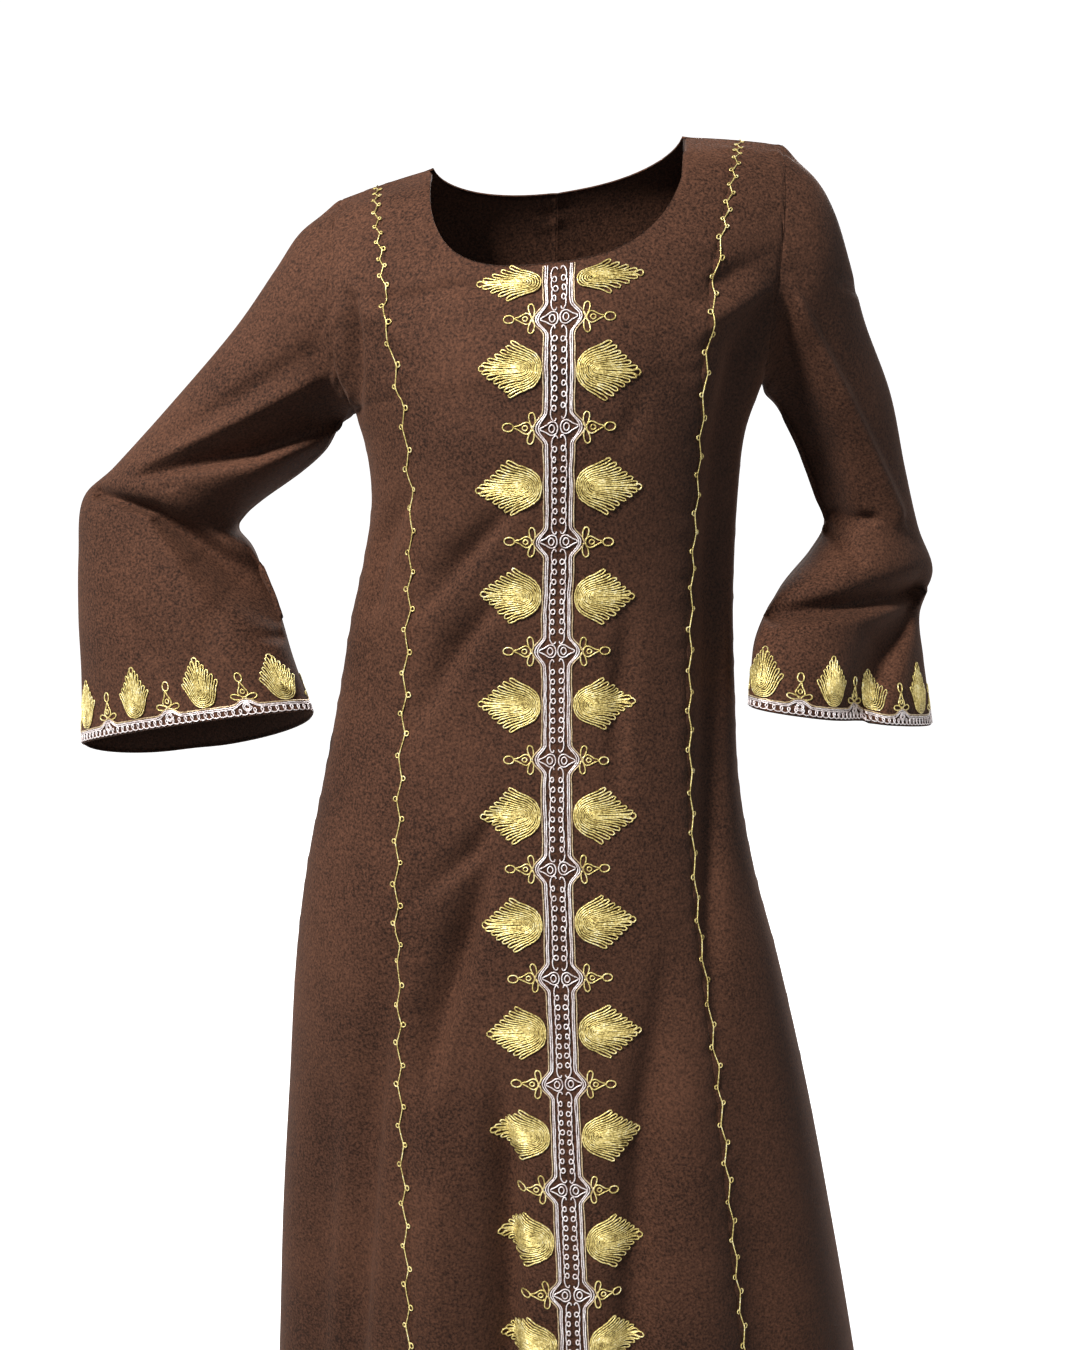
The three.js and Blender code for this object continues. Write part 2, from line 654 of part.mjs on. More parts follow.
// The turns of the marks round a cuff, each a distance along the edge of the cloth.
function cuffMarks(side) {
  const edge = Array.from({ length: CUFF_STEPS + 1 }, (_, i) =>
    sleevePoint(side, i / CUFF_STEPS, 1),
  );
  const lengths = [0];
  for (let i = 0; i < CUFF_STEPS; i++)
    lengths.push(lengths[i] + edge[i].distanceTo(edge[i + 1]));
  const turnAt = (distance) => {
    const at = THREE.MathUtils.euclideanModulo(distance, lengths[CUFF_STEPS]);
    const i = Math.min(CUFF_STEPS - 1, lengths.findLastIndex((l) => l <= at));
    return (i + (at - lengths[i]) / (lengths[i + 1] - lengths[i])) / CUFF_STEPS;
  };
  const pitch = lengths[CUFF_STEPS] / CUFF.repeats;
  const { band, leafHalf, leafTip, leafRoot, nodeHalf, nodeTip } = CUFF;
  const marks = [];
  for (let i = 0; i < CUFF.repeats; i++) {
    const node = pitch * (i + 0.75);
    marks.push(
      ...motif(pitch * (i + 0.25), leafHalf, leafTip, leafRoot, band),
      { at: node - nodeHalf, reach: band },
      { at: node, reach: nodeTip },
      { at: node + nodeHalf, reach: band },
    );
  }
  return marks.map(({ at, reach }) => ({ turn: turnAt(at), reach }));
}

function cuffBraid(side) {
  const marks = cuffMarks(side);
  const heights = [() => CUFF.edge, () => CUFF.core, (mark) => mark.reach];
  const places = heights.map((height) =>
    marks.map((mark) => {
      const span = sleevePoint(side, mark.turn, 1).distanceTo(
        sleevePoint(side, mark.turn, 1 - CUFF_SPAN),
      );
      return { turn: mark.turn, row: 1 - (CUFF_SPAN * height(mark)) / span };
    }),
  );
  const normals = places.map((row) => row.map((at) => sleeveNormal(side, at.turn, at.row)));
  const points = places.map((row, r) =>
    row.map((at, c) =>
      sleevePoint(side, at.turn, at.row).addScaledVector(
        normals[r][c],
        CUFF.lift + BRAID.thickness,
      ),
    ),
  );
  return wall(points, normals, true, BRAID.thickness);
}

// The columns of both halves, from those of the left one, which start at the middle.
function mirrored(columns) {
  return [...columns.slice(1).map((c) => -c).reverse(), ...columns];
}

const GOLD_CORD = new THREE.MeshStandardMaterial({
  color: 0xc9ac52,
  roughness: 0.45,
  metalness: 0.4,
});
const CLOTH = new THREE.MeshStandardMaterial({ color: 0x4a3028, roughness: 0.9, metalness: 0 });

const kaftan = new THREE.Group();

function addPiece(name, geometry, material) {
  const mesh = new THREE.Mesh(geometry, material);
  mesh.name = name;
  kaftan.add(mesh);
}

const FRONT = -1;
const BACK = 1;
const BACK_COLUMNS = [...CENTRE_COLUMNS, ...SIDE_COLUMNS.slice(1)];
addPiece("front_centre", bodyPiece(FRONT, mirrored(CENTRE_COLUMNS)), CLOTH);
addPiece("front_side_left", bodyPiece(FRONT, SIDE_COLUMNS), CLOTH);
addPiece(
  "front_side_right",
  bodyPiece(FRONT, SIDE_COLUMNS.map((c) => -c)),
  CLOTH,
);
addPiece("back_left", bodyPiece(BACK, BACK_COLUMNS), CLOTH);
addPiece("back_right", bodyPiece(BACK, BACK_COLUMNS.map((c) => -c)), CLOTH);
addPiece("sleeve_left", sleevePiece(1), CLOTH);
addPiece("sleeve_right", sleevePiece(-1), CLOTH);

addPiece("front_braid", frontBraid(), GOLD_CORD);
addPiece("cuff_braid_left", cuffBraid(1), GOLD_CORD);
addPiece("cuff_braid_right", cuffBraid(-1), GOLD_CORD);

export default kaftan;
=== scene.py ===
import math

import bpy
import numpy as np
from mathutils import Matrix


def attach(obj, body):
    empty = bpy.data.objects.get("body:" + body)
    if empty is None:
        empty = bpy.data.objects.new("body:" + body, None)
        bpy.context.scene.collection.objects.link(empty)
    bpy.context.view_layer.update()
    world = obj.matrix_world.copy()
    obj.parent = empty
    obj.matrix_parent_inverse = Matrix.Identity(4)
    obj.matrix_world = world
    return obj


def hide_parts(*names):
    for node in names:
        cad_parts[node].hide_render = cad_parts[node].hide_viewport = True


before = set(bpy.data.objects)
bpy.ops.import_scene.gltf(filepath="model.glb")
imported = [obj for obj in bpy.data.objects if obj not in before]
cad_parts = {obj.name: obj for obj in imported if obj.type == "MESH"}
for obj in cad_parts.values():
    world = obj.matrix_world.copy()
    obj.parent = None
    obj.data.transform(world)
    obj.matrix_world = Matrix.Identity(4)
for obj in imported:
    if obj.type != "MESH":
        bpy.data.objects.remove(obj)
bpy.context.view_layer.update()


# Camera ---------------------------------------------------------------------------------------------
# A 35 mm lens on an upright frame 36 mm high stands at the height of the wearer's ribs, a little to
# their right, and looks down by eight degrees. It sees the kaftan from the shoulders to the knees.

MM = 0.001
LENS = 35
FRAME_HEIGHT = 36
CAMERA_PLACE = (-15, -1180, -281.8)
LOOK_DOWN = 8
FAR_END = 50

camera = bpy.data.objects.new("camera", bpy.data.cameras.new("camera"))
camera.data.lens = LENS
camera.data.sensor_fit = "VERTICAL"
camera.data.sensor_height = FRAME_HEIGHT
camera.data.clip_end = FAR_END
camera.location = [c * MM for c in CAMERA_PLACE]
camera.rotation_euler = (math.radians(90 - LOOK_DOWN), 0, 0)
bpy.context.collection.objects.link(camera)
bpy.context.scene.camera = camera


# Centre front ---------------------------------------------------------------------------------------
# The middle front panel is one piece of heavy chocolate brown crepe, from the shoulder seams and the
# scooped neck down to the hem. It flares from 240 mm at the bust to 330 mm at the hem, and a pressed
# seam joins it to a side panel along each long edge.


class Link:
    """An output of a node, so that shader maths is written as sums."""

    def __init__(self, nodes, socket):
        self.nodes = nodes
        self.socket = socket

    def maths(self, operation, *values):
        return self.nodes.node("ShaderNodeMath", {"operation": operation}, *values)

    def __add__(self, other):
        return self.maths("ADD", self, other)

    def __mul__(self, other):
        return self.maths("MULTIPLY", self, other)

    __radd__ = __add__
    __rmul__ = __mul__


class Nodes:
    """A tree that is built node by node: a node's settings first, then its sockets."""

    def __init__(self, tree):
        self.tree = tree

    def node(self, kind, settings, *in_order, output=0, **by_name):
        made = self.tree.nodes.new(kind)
        for key, value in settings.items():
            if key == "stops":
                self.set_stops(made.color_ramp.elements, value)
            else:
                setattr(made, key, value)
        self.feed(made, **by_name)
        for socket, value in zip(made.inputs, in_order):
            self.feed_socket(socket, value)
        return Link(self, made.outputs[output])

    def set_stops(self, elements, stops):
        while len(elements) < len(stops):
            elements.new(0.5)
        for element, (place, colour) in zip(elements, stops):
            element.position = place
            element.color = (*colour, 1)

    def feed(self, node, **sockets):
        for name, value in sockets.items():
            self.feed_socket(node.inputs[name.replace("_", " ")], value)

    def feed_socket(self, socket, value):
        if isinstance(value, Link):
            self.tree.links.new(value.socket, socket)
        else:
            socket.default_value = value


class Finish(Nodes):
    """A material, with the surface that its nodes feed."""

    def __init__(self, name):
        self.material = bpy.data.materials.new(name)
        self.material.use_nodes = True
        super().__init__(self.material.node_tree)
        self.surface = self.tree.nodes["Principled BSDF"]

    def coat(self, **sockets):
        self.feed(self.surface, **sockets)


# The crepe is matt, with a faint bloom where the light grazes it. Its pebbles break the light into
# small specks, and wide patches vary its tone a little.
CREPE_DARK = (0.016, 0.0062, 0.0032)
CREPE_LIGHT = (0.140, 0.0585, 0.0325)
CREPE_BLOOM = (0.75, 0.45, 0.33, 1)
CREPE_TONES = {"stops": [(0.35, CREPE_DARK), (0.67, CREPE_LIGHT)]}
PEBBLE = 0.0021
PATCH = 0.09

crepe = Finish("crepe")
place = crepe.node("ShaderNodeTexCoord", {}, output="Object")
pebbles = crepe.node(
    "ShaderNodeTexNoise", {}, Vector=place, Scale=1 / PEBBLE, Detail=2.0, Roughness=0.6
)
grain = crepe.node(
    "ShaderNodeTexVoronoi", {"feature": "F1"}, Vector=place, Scale=1 / (PEBBLE * 0.8)
)
patches = crepe.node("ShaderNodeTexNoise", {}, Vector=place, Scale=1 / PATCH, Detail=3.0)
crepe.coat(
    Base_Color=crepe.node("ShaderNodeValToRGB", CREPE_TONES, pebbles * 0.75 + patches * 0.25),
    Roughness=0.74 + pebbles * 0.2,
    Sheen_Weight=0.1,
    Sheen_Roughness=0.4,
    Sheen_Tint=CREPE_BLOOM,
    Specular_IOR_Level=0.13,
    Normal=crepe.node(
        "ShaderNodeBump",
        {},
        Strength=0.55,
        Distance=0.0007,
        Height=pebbles * 0.7 + grain * 0.5,
    ),
)

# The body is a tube worked out from level sections. Levels run up the body to the underarm, then on
# over the chest and the shoulder blades to the shoulder seam. All sizes of the cut are millimetres.
UNDERARM = -200
SHOULDER = 50
HEM = -1400
SQUARENESS = 2.2
ROUND = 1 / SQUARENESS


def table(columns, rows):
    return dict(zip(columns.split(), np.array(rows, float).T))


BODY = table(
    "level middle right left front back seamRight seamLeft rise",
    [
        [-1400, 24, -280, 338, -196, 186, -116, 214, 0],
        [-1230, 18, -273, 310, -182, 170, -119, 188, 0],
        [-1067, 15, -265, 282, -167, 156, -122, 168, 0],
        [-947, 12, -259, 259, -157, 146, -124, 151, 0],
        [-826, 7, -250, 234, -146, 137, -129, 137, 0],
        [-707, 3, -241, 205, -137, 128, -132, 125, 0],
        [-621, 0, -229, 181, -128, 120, -133, 117, 0],
        [-540, -1, -212, 166, -117, 104, -131, 112, 0],
        [-461, -1, -196, 161, -108, 84, -127, 110, 0],
        [-393, -1, -184, 158, -108, 74, -123, 110, 0.005],
        [-339, 0, -172, 158, -113, 78, -120, 111, 0.02],
        [-286, 0, -164, 160, -123, 86, -119, 113, 0.04],
        [-240, 0, -167, 165, -131, 94, -121, 114, 0.06],
        [-200, 0, -177, 180, -131, 98, -124, 115, 0.078],
    ],
)
YOKE = table(
    "level middle right left edgeZ middleZ fore aft front back seamRight seamLeft power rise",
    [
        [-200, 0, -177, 180, -200, -200, 0, 0, -131, 98, -124, 115, ROUND, 0.078],
        [-175, 0, -178, 178, -193, -186, -30, 30, -132, 100, -127, 116, 0.6, 0.084],
        [-138, 0, -187, 179, -165, -158, -52, 55, -127, 101, -130, 118, 0.8, 0.093],
        [-88, 0, -192, 183, -120, -118, -62, 66, -115, 97, -136, 124, 1, 0.105],
        [-38, 0, -191, 187, -78, -75, -56, 58, -94, 84, -142, 133, 1, 0.114],
        [12, 0, -189, 190, -34, -20, -33, 34, -54, 50, -149, 145, 1, 0.119],
        [50, 0, -187, 193, -10, 14, 0, 0, 0, 0, -152, 154, 1, 0.119],
    ],
)
BODY.update(
    edgeZ=BODY["level"],
    middleZ=BODY["level"],
    fore=BODY["level"] * 0,
    aft=BODY["level"] * 0,
    power=BODY["level"] * 0 + ROUND,
)
EDGE = {-1: "right", 1: "left"}
SEAM = {-1: "seamRight", 1: "seamLeft"}

# Folds: creases of the cloth, by the face that they lie on, front (-1) or back (1). Each is
# a line through points that give x, z, width, sharp and depth. width is how far the crease fades out
# to the right of someone who walks along it, sharp is the share of that to their left, and depth how
# far it stands proud, or lies deep where it is negative.
BODY_FOLDS = {}
BODY_FOLDS[-1] = [
    [(180, -115, 9, 0.45, 7), (123, -148, 12, 0.45, 7), (104, -167, 14, 0.45, 1)],
    [(171, -95, 8, 1, -2), (142, -108, 8, 1, -6), (117, -123, 8, 1, -1)],
    [
        (179, -139, 14, 0.7, -19), (156, -172, 18, 0.7, -22), (142, -240, 18, 0.7, -19),
        (138, -340, 17, 0.7, -20), (138, -450, 17, 0.7, -17), (136, -560, 16, 0.7, -15),
        (134, -650, 14, 0.7, -12), (136, -750, 12, 0.7, -3),
    ],
    [(-172, -125, 5, 1, -2), (-127, -131, 6, 1, -3.5), (-86, -122, 6, 1, -4), (-39, -127, 5, 1, 0)],
    [(-169, -97, 7, 1, 0), (-132, -90, 6, 1, -2), (-101, -77, 5, 1, -1)],
    [(-176, -98, 9, 0.8, 4), (-150, -140, 12, 0.8, 9), (-118, -166, 13, 0.8, 3)],
    [
        (-166, -128, 7, 0.6, -6), (-169, -158, 10, 0.6, -20), (-172, -190, 13, 0.6, -25),
        (-174, -216, 12, 0.6, -20),
    ],
    [(-122, -284, 9, 0.6, -3), (-146, -323, 13, 0.6, -12), (-158, -380, 13, 0.6, -8)],
    [(-145, -327, 8, 1, 0), (-141, -388, 11, 1, 4), (-145, -472, 11, 1, 0)],
    [(-34, -294, 9, 0.45, -2), (-78, -338, 14, 0.45, -11), (-112, -380, 13, 0.45, -2)],
    [(-41, -363, 9, 0.45, -1), (-84, -414, 15, 0.45, -12), (-120, -480, 14, 0.45, -2)],
    [(-38, -532, 9, 0.45, -2), (-72, -584, 12, 0.45, -10), (-119, -622, 10, 0.45, -2)],
    [
        (-56, -583, 12, 0.5, -4), (-81, -661, 19, 0.5, -21), (-103, -727, 18, 0.5, -16),
        (-112, -797, 15, 0.5, -2),
    ],
    [
        (-52, -765, 9, 0.6, -2), (-42, -845, 17, 0.6, -18), (-42, -1003, 20, 0.6, -21),
        (-54, -1400, 26, 0.7, -22),
    ],
    [
        (-140, -667, 14, 0.5, -4), (-165, -820, 24, 0.5, -16), (-184, -1030, 26, 0.5, -19),
        (-206, -1400, 30, 0.6, -20),
    ],
    [(-196, -790, 14, 0.5, -3), (-212, -912, 22, 0.5, -15), (-250, -1400, 26, 0.6, -16)],
    [(-124, -748, 12, 1, 2), (-99, -857, 22, 1, 8), (-104, -1400, 30, 1, 12)],
    [
        (92, -669, 10, 0.8, -2), (77, -803, 19, 0.7, -11), (67, -1005, 21, 0.7, -14),
        (74, -1400, 27, 0.8, -14),
    ],
    [(134, -627, 14, 1, 2), (116, -797, 20, 1, 6), (152, -1400, 34, 1, 12)],
    [(160, -860, 14, 0.8, -2), (176, -960, 21, 0.8, -8), (226, -1400, 28, 0.8, -14)],
    [(72, -191, 7, 1, 0), (58, -227, 9, 1, -3), (42, -264, 7, 1, 0)],
    [(61, -362, 9, 1, 0), (52, -451, 11, 0.8, -7), (47, -558, 9, 1, 0)],
    [
        (176, -590, 20, 1.3, 2), (187, -700, 32, 1.3, 13), (212, -880, 36, 1.3, 14),
        (290, -1400, 42, 1.3, 12),
    ],
]


def ease(start, end, leave, arrive, t):
    """A smooth way from start to end, with the slopes at which it leaves and arrives."""
    way = start * (1 + 2 * t) * (1 - t) ** 2 + end * t * t * (3 - 2 * t)
    return way + leave * t * (1 - t) ** 2 - arrive * t * t * (1 - t)


def sample(rows, at):
    """A table's columns between its rows."""
    key = rows["level"]
    i = np.clip(np.searchsorted(key, at, side="left") - 1, 0, len(key) - 2)
    span = key[i + 1] - key[i]
    t = (at - key[i]) / span
    row = np.arange(len(key))
    before, after = np.maximum(row - 1, 0), np.minimum(row + 1, len(key) - 1)
    made = {}
    for name, column in rows.items():
        slope = (column[after] - column[before]) / (key[after] - key[before])
        made[name] = ease(column[i], column[i + 1], slope[i] * span, slope[i + 1] * span, t)
    return made


def section(level):
    """The sizes of the body at a level."""
    above = sample(YOKE, np.maximum(level, UNDERARM))
    below = sample(BODY, np.minimum(level, UNDERARM))
    return {k: np.where(level > UNDERARM, above[k], below[k]) for k in above}


def fold_height(folds, face, x, z):
    """How far the folds move the cloth. Of each fold, only the stretch nearest to a point counts."""
    height = np.zeros_like(x)
    for side, lines in folds.items():
        for line in lines:
            nearest, crease = np.full(x.shape, np.inf), np.zeros_like(x)
            for (x0, z0, width, sharp, depth), end in zip(line, line[1:]):
                x1, z1, end_width, _, end_depth = end
                dx, dz = x1 - x0, z1 - z0
                along = np.clip(((x - x0) * dx + (z - z0) * dz) / (dx * dx + dz * dz), 0, 1)
                away = np.hypot(x - x0 - along * dx, z - z0 - along * dz)
                share = np.where((x - x0) * dz > (z - z0) * dx, 1, sharp)
                fade = away / ((width + (end_width - width) * along) * share)
                here = (depth + (end_depth - depth) * along) * np.exp(-fade * fade)
                crease = np.where(away < nearest, here, crease)
                nearest = np.minimum(nearest, away)
            height += np.where(face == side, crease, 0)
    return height


FOLD_SPREAD = 0.5
FOLD_REACH = 100


def body_point(face, angle, level):
    """A point of the body at an angle from its middle. Past a seam it goes on over the other face."""
    face, angle, level = np.broadcast_arrays(face, angle, level)
    over = level > SHOULDER
    face = np.where(over, -face, face)
    level = np.where(over, 2 * SHOULDER - level, level)
    round_side = np.abs(angle) > math.pi / 2
    face = np.where(round_side, -face, face)
    angle = np.where(round_side, np.sign(angle) * math.pi - angle, angle)
    s = section(level)
    share = np.sin(np.abs(angle))
    dome = np.maximum(0, 1 - share**SQUARENESS) ** s["power"]
    edge_y = np.where(face < 0, s["fore"], s["aft"])
    middle_y = np.where(face < 0, s["front"], s["back"])
    edge_x = np.where(angle < 0, s["right"], s["left"])
    x = s["middle"] + (edge_x - s["middle"]) * share
    y = edge_y + (middle_y - edge_y) * dome
    z = s["edgeZ"] + (s["middleZ"] - s["edgeZ"]) * (1 - share * share) + x * s["rise"]
    calm = np.where(over | round_side, 0, 1 - share**8)
    height = calm * fold_height(BODY_FOLDS, face, x, z)
    out = np.hypot(x * FOLD_SPREAD, FOLD_REACH)
    x = x + height * x * FOLD_SPREAD / out
    return np.stack([x, y + height * face * FOLD_REACH / out, z], -1)


ANGLE_STEP = 0.01
LEVEL_STEP = 1


def unit(v):
    return v / np.linalg.norm(v, axis=-1, keepdims=True)


def body_normal(face, angle, level):
    """Which way the cloth faces. At an armhole it is measured on the body's side alone."""
    face, angle, level = np.broadcast_arrays(face, angle, level)
    armhole = (level > UNDERARM) & (np.abs(angle) > math.pi / 2 - ANGLE_STEP)
    more = angle + np.where(armhole & (angle > 0), 0, ANGLE_STEP)
    less = angle - np.where(armhole & (angle < 0), 0, ANGLE_STEP)
    across = body_point(face, more, level) - body_point(face, less, level)
    up = body_point(face, angle, level + LEVEL_STEP) - body_point(face, angle, level - LEVEL_STEP)
    return unit(np.cross(across, up) * -face[..., None])


# The neckline is one curve at the front and one at the back, between the shoulder seams. A panel's
# columns are numbered across the body: 0 is its middle, 1 the front seam and 2 the side seam.
NECK_HALF = 107
NECK_TOP = 8
NECK_DROP = {-1: 111, 1: 25}
NECK_SQUARE = {(-1, -1): 3.1, (-1, 1): 2.35, (1, -1): 2, (1, 1): 2}
NECK_COLUMN = 0.78
HALVINGS = 30


def level_at(side, x, z):
    """The level whose section passes x and z of the front view, found by halving."""
    x, z = np.broadcast_arrays(np.asarray(x, float), np.asarray(z, float))
    low, high = np.full(x.shape, UNDERARM, float), np.full(x.shape, SHOULDER, float)
    for _ in range(HALVINGS):
        level = (low + high) / 2
        s = section(level)
        share = np.minimum(1, x / np.abs(s[EDGE[side]]))
        below = s["edgeZ"] + (s["middleZ"] - s["edgeZ"]) * (1 - share * share) < z
        low, high = np.where(below, level, low), np.where(below, high, level)
    return np.where(z > UNDERARM, (low + high) / 2, z)


def seam_at(side, level):
    return np.abs(section(level)[SEAM[side]])


def column_top(face, side, column):
    """The level at which a column ends, and how far out it lies there, in columns."""
    square = NECK_SQUARE[face, side]
    turn = np.minimum(column / NECK_COLUMN, 1) * math.pi / 2
    x = NECK_HALF * np.sin(turn) ** (2 / square)
    drop = NECK_DROP[face] * np.maximum(np.cos(turn), 0) ** (2 / square)
    level = level_at(side, x, NECK_TOP - drop)
    at_shoulder = seam_at(side, np.array(float(SHOULDER)))
    share = (column - NECK_COLUMN) / (1 - NECK_COLUMN)
    on_shoulder = NECK_HALF + (at_shoulder - NECK_HALF) * share
    shoulder = column >= NECK_COLUMN
    level = np.where(shoulder, SHOULDER, level)
    reach = np.where(shoulder, on_shoulder, x) / np.where(shoulder, at_shoulder, seam_at(side, level))
    return level, np.where(column > 1, column, reach)


def column_angle(side, reach, level):
    """The angle of a column, or of a place between two, at a level."""
    s = section(level)
    ratio = (s[SEAM[side]] - s["middle"]) / (s[EDGE[side]] - s["middle"])
    princess = np.arcsin(ratio)
    past = princess + (math.pi / 2 - princess) * (reach - 1)
    return side * np.where(reach <= 1, np.arcsin(np.minimum(reach, 1) * ratio), past)


SKIRT_ROWS = 230
YOKE_ROWS = 64


def body_places(face, columns):
    """Angle and level of every point of a panel."""
    skirt = np.linspace(HEM, UNDERARM, SKIRT_ROWS + 1)
    levels = np.concatenate([skirt, np.full(YOKE_ROWS, UNDERARM)])
    shares = np.concatenate([skirt * 0, np.arange(1, YOKE_ROWS + 1) / YOKE_ROWS])
    angles = np.zeros((len(levels), len(columns)))
    heights = np.zeros_like(angles)
    for c, column in enumerate(columns):
        side = -1 if column < 0 else 1
        top, reach = column_top(face, side, abs(column))
        heights[:, c] = levels + (top - UNDERARM) * shares
        out = abs(column) + (reach - abs(column)) * shares
        angles[:, c] = column_angle(side, out, heights[:, c])
    return angles, heights


WALL = 1.5
LIP = 0.45


def shell(name, outer, normal, wraps, lips):
    """A closed wall from a grid of outer points. A lip is an open edge with a rounded turning."""
    rows, columns = outer.shape[:2]
    inner = outer - normal * WALL
    layers = [outer.reshape(-1, 3), inner.reshape(-1, 3)]

    def at(r, c, layer):
        return layer * rows * columns + r * columns + c % columns

    c = np.arange(columns if wraps else columns - 1)
    r, across = (grid.ravel() for grid in np.meshgrid(np.arange(rows - 1), c, indexing="ij"))
    beside, above = across + 1, r + 1
    faces = [
        np.stack([at(r, across, 0), at(r, beside, 0), at(above, beside, 0), at(above, across, 0)], 1),
        np.stack([at(r, across, 1), at(above, across, 1), at(above, beside, 1), at(r, beside, 1)], 1),
    ]
    for lip, row, nearby, sense in (("bottom", 0, 1, -1), ("top", rows - 1, rows - 2, 1)):
        line = [at(row, np.arange(columns), 0), at(row, np.arange(columns), 1)]
        if lip in lips:
            beyond = unit(outer[row] - outer[nearby]) * WALL * LIP
            line.insert(1, sum(len(layer) for layer in layers) + np.arange(columns))
            layers.append((outer[row] + inner[row]) / 2 + beyond)
        for one, two in zip(line, line[1:]):
            quad = [one[c], two[c], two[(c + 1) % columns], one[(c + 1) % columns]]
            faces.append(np.stack(quad[::sense], 1))
    if not wraps:
        r = np.arange(rows - 1)
        last = columns - 1
        faces.append(np.stack([at(r, 0, 0), at(r + 1, 0, 0), at(r + 1, 0, 1), at(r, 0, 1)], 1))
        end = [at(r, last, 0), at(r, last, 1), at(r + 1, last, 1), at(r + 1, last, 0)]
        faces.append(np.stack(end, 1))
    return solid(name, np.concatenate(layers), np.concatenate(faces))


def solid(name, points, faces):
    """A smooth mesh of four-sided faces, turned so that they point outwards."""
    a, b, c, d = (points[faces[:, i]] for i in range(4))
    if (np.einsum("ij,ij->i", a + b + c + d, np.cross(c - a, d - b))).sum() < 0:
        faces = faces[:, ::-1]
    mesh = bpy.data.meshes.new(name)
    mesh.vertices.add(len(points))
    mesh.vertices.foreach_set("co", (points * MM).ravel())
    mesh.loops.add(faces.size)
    mesh.loops.foreach_set("vertex_index", faces.ravel())
    mesh.polygons.add(len(faces))
    mesh.polygons.foreach_set("loop_start", np.arange(0, faces.size, 4))
    mesh.update(calc_edges=True)
    mesh.validate()
    mesh.shade_smooth()
    mesh.materials.append(crepe.material)
    made = bpy.data.objects.new(name, mesh)
    bpy.context.collection.objects.link(made)
    return made


# A seam is two edges pressed apart, so that the cloth dips into the line of stitches, with small
# puckers beside it that the thread draws in.
SEAM_DIP = 0.8
SEAM_WIDTH = 2.6
PUCKER = 0.45
PUCKER_PITCH = 19
PUCKER_OFF = 6
PUCKER_FADE = 60
PUCKER_BEAT = 1.31
PUCKER_SHIFT = 7


def distance_from(points, axis):
    """How far each point lies from the first and from the last one, along the given axis."""
    steps = np.linalg.norm(np.diff(points, axis=axis), axis=-1)
    zero = np.zeros_like(np.take(steps, [0], axis))
    run = np.cumsum(np.concatenate([zero, steps], axis), axis)
    return run, np.take(run, [-1], axis) - run


def groove(distance, depth=SEAM_DIP):
    return -depth * np.exp(-((distance / SEAM_WIDTH) ** 2))


def press(points, normal, distance, along):
    """Sinks the cloth along a seam and puckers it beside the stitches."""
    wave = np.sin(along / PUCKER_PITCH * 2 * math.pi)
    wave = wave + np.sin(along / PUCKER_PITCH * PUCKER_BEAT * math.pi + 1)
    near = np.exp(-((distance - PUCKER_OFF) ** 2) / PUCKER_FADE) * (distance > 0)
    return points + normal * (groove(distance) + PUCKER * wave * near)[..., None]


EDGE_SPREAD = [0, 0.006, 0.014, 0.026, 0.045]
EDGE_UNIT = 20
EDGE_CLEAR = 0.4


def spread(start, end, count, close_start=True, close_end=True):
    """Columns from one seam to the next, closer together beside a seam."""
    inside = list(np.linspace(0, 1, count + 1))
    near = [s * EDGE_UNIT / count for s in EDGE_SPREAD]
    first = near if close_start else [0]
    last = [1 - s for s in near[::-1]] if close_end else [1]
    clear = EDGE_CLEAR / count
    kept = [s for s in inside if first[-1] + clear < s < last[0] - clear]
    return [start + (end - start) * s for s in [*first, *kept, *last]]


def body_panel(name, face, columns):
    """A panel of the body, with its long edges and its shoulder edge pressed as seams."""
    angles, levels = body_places(face, columns)
    points = body_point(face, angles, levels)
    normal = body_normal(face, angles, levels)
    for side in (-1, 1):
        armhole = (np.array(columns) == 2 * side) & (levels > UNDERARM)
        if armhole.any():
            half = (SHOULDER - levels[armhole]) / (SHOULDER - UNDERARM) / 2
            normal[armhole] = armhole_normal(side, half if face < 0 else 1 - half)
    across, back_across = distance_from(points, 1)
    up, down = distance_from(points, 0)
    points = press(points, normal, across, up)
    points = press(points, normal, back_across, up + PUCKER_SHIFT)
    shoulder = np.abs(np.array(columns)) >= NECK_COLUMN
    points = points + normal * (groove(down) * shoulder)[..., None]
    return shell(name, points, normal, False, ("bottom", "top"))


def finish_panel(piece, node):
    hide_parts(node)
    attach(piece, "root")


half_front = spread(0, 1, 30, close_start=False)
whole_front = [-c for c in half_front[::-1] if c] + half_front
front_centre = body_panel("front_centre_panel", -1, whole_front)
finish_panel(front_centre, "front_centre")


# Side fronts ----------------------------------------------------------------------------------------
# Two narrow gored panels of the same crepe join the centre front to the side seams, and carry the front
# half of each armhole. Their long curved seams shape the bust and the waist.

# A sleeve's head is sewn into the armhole, so its form decides how the cloth stands there. It is given
# as rings round the bent arm: the outer point, the inner point, then how far the ring stands out in
# front and behind, with the rise of each.
RIGHT_RINGS = [
    [-220, 3, -59, -193, 8, -224, 59, 0, 59, 0],
    [-245, 7, -91, -207, 10, -246, 58, 0, 58, 0],
    [-284, 14, -141, -230, 10, -266, 56, 2, 56, -2],
    [-346, 24, -206, -266, 14, -290, 55, 2, 56, -4],
    [-400, 34, -259, -284, 20, -304, 56, 2, 58, -6],
    [-434, 42, -289, -290, 24, -316, 58, 0, 60, -6],
    [-440, 40, -341, -274, 14, -335, 62, -2, 60, -6],
    [-442, 38, -397, -251, -2, -386, 66, 0, 62, -8],
    [-441, 34, -452, -236, -18, -427, 62, 6, 60, -16],
    [-442, 28, -517, -216, -36, -475, 56, 13, 56, -28],
]
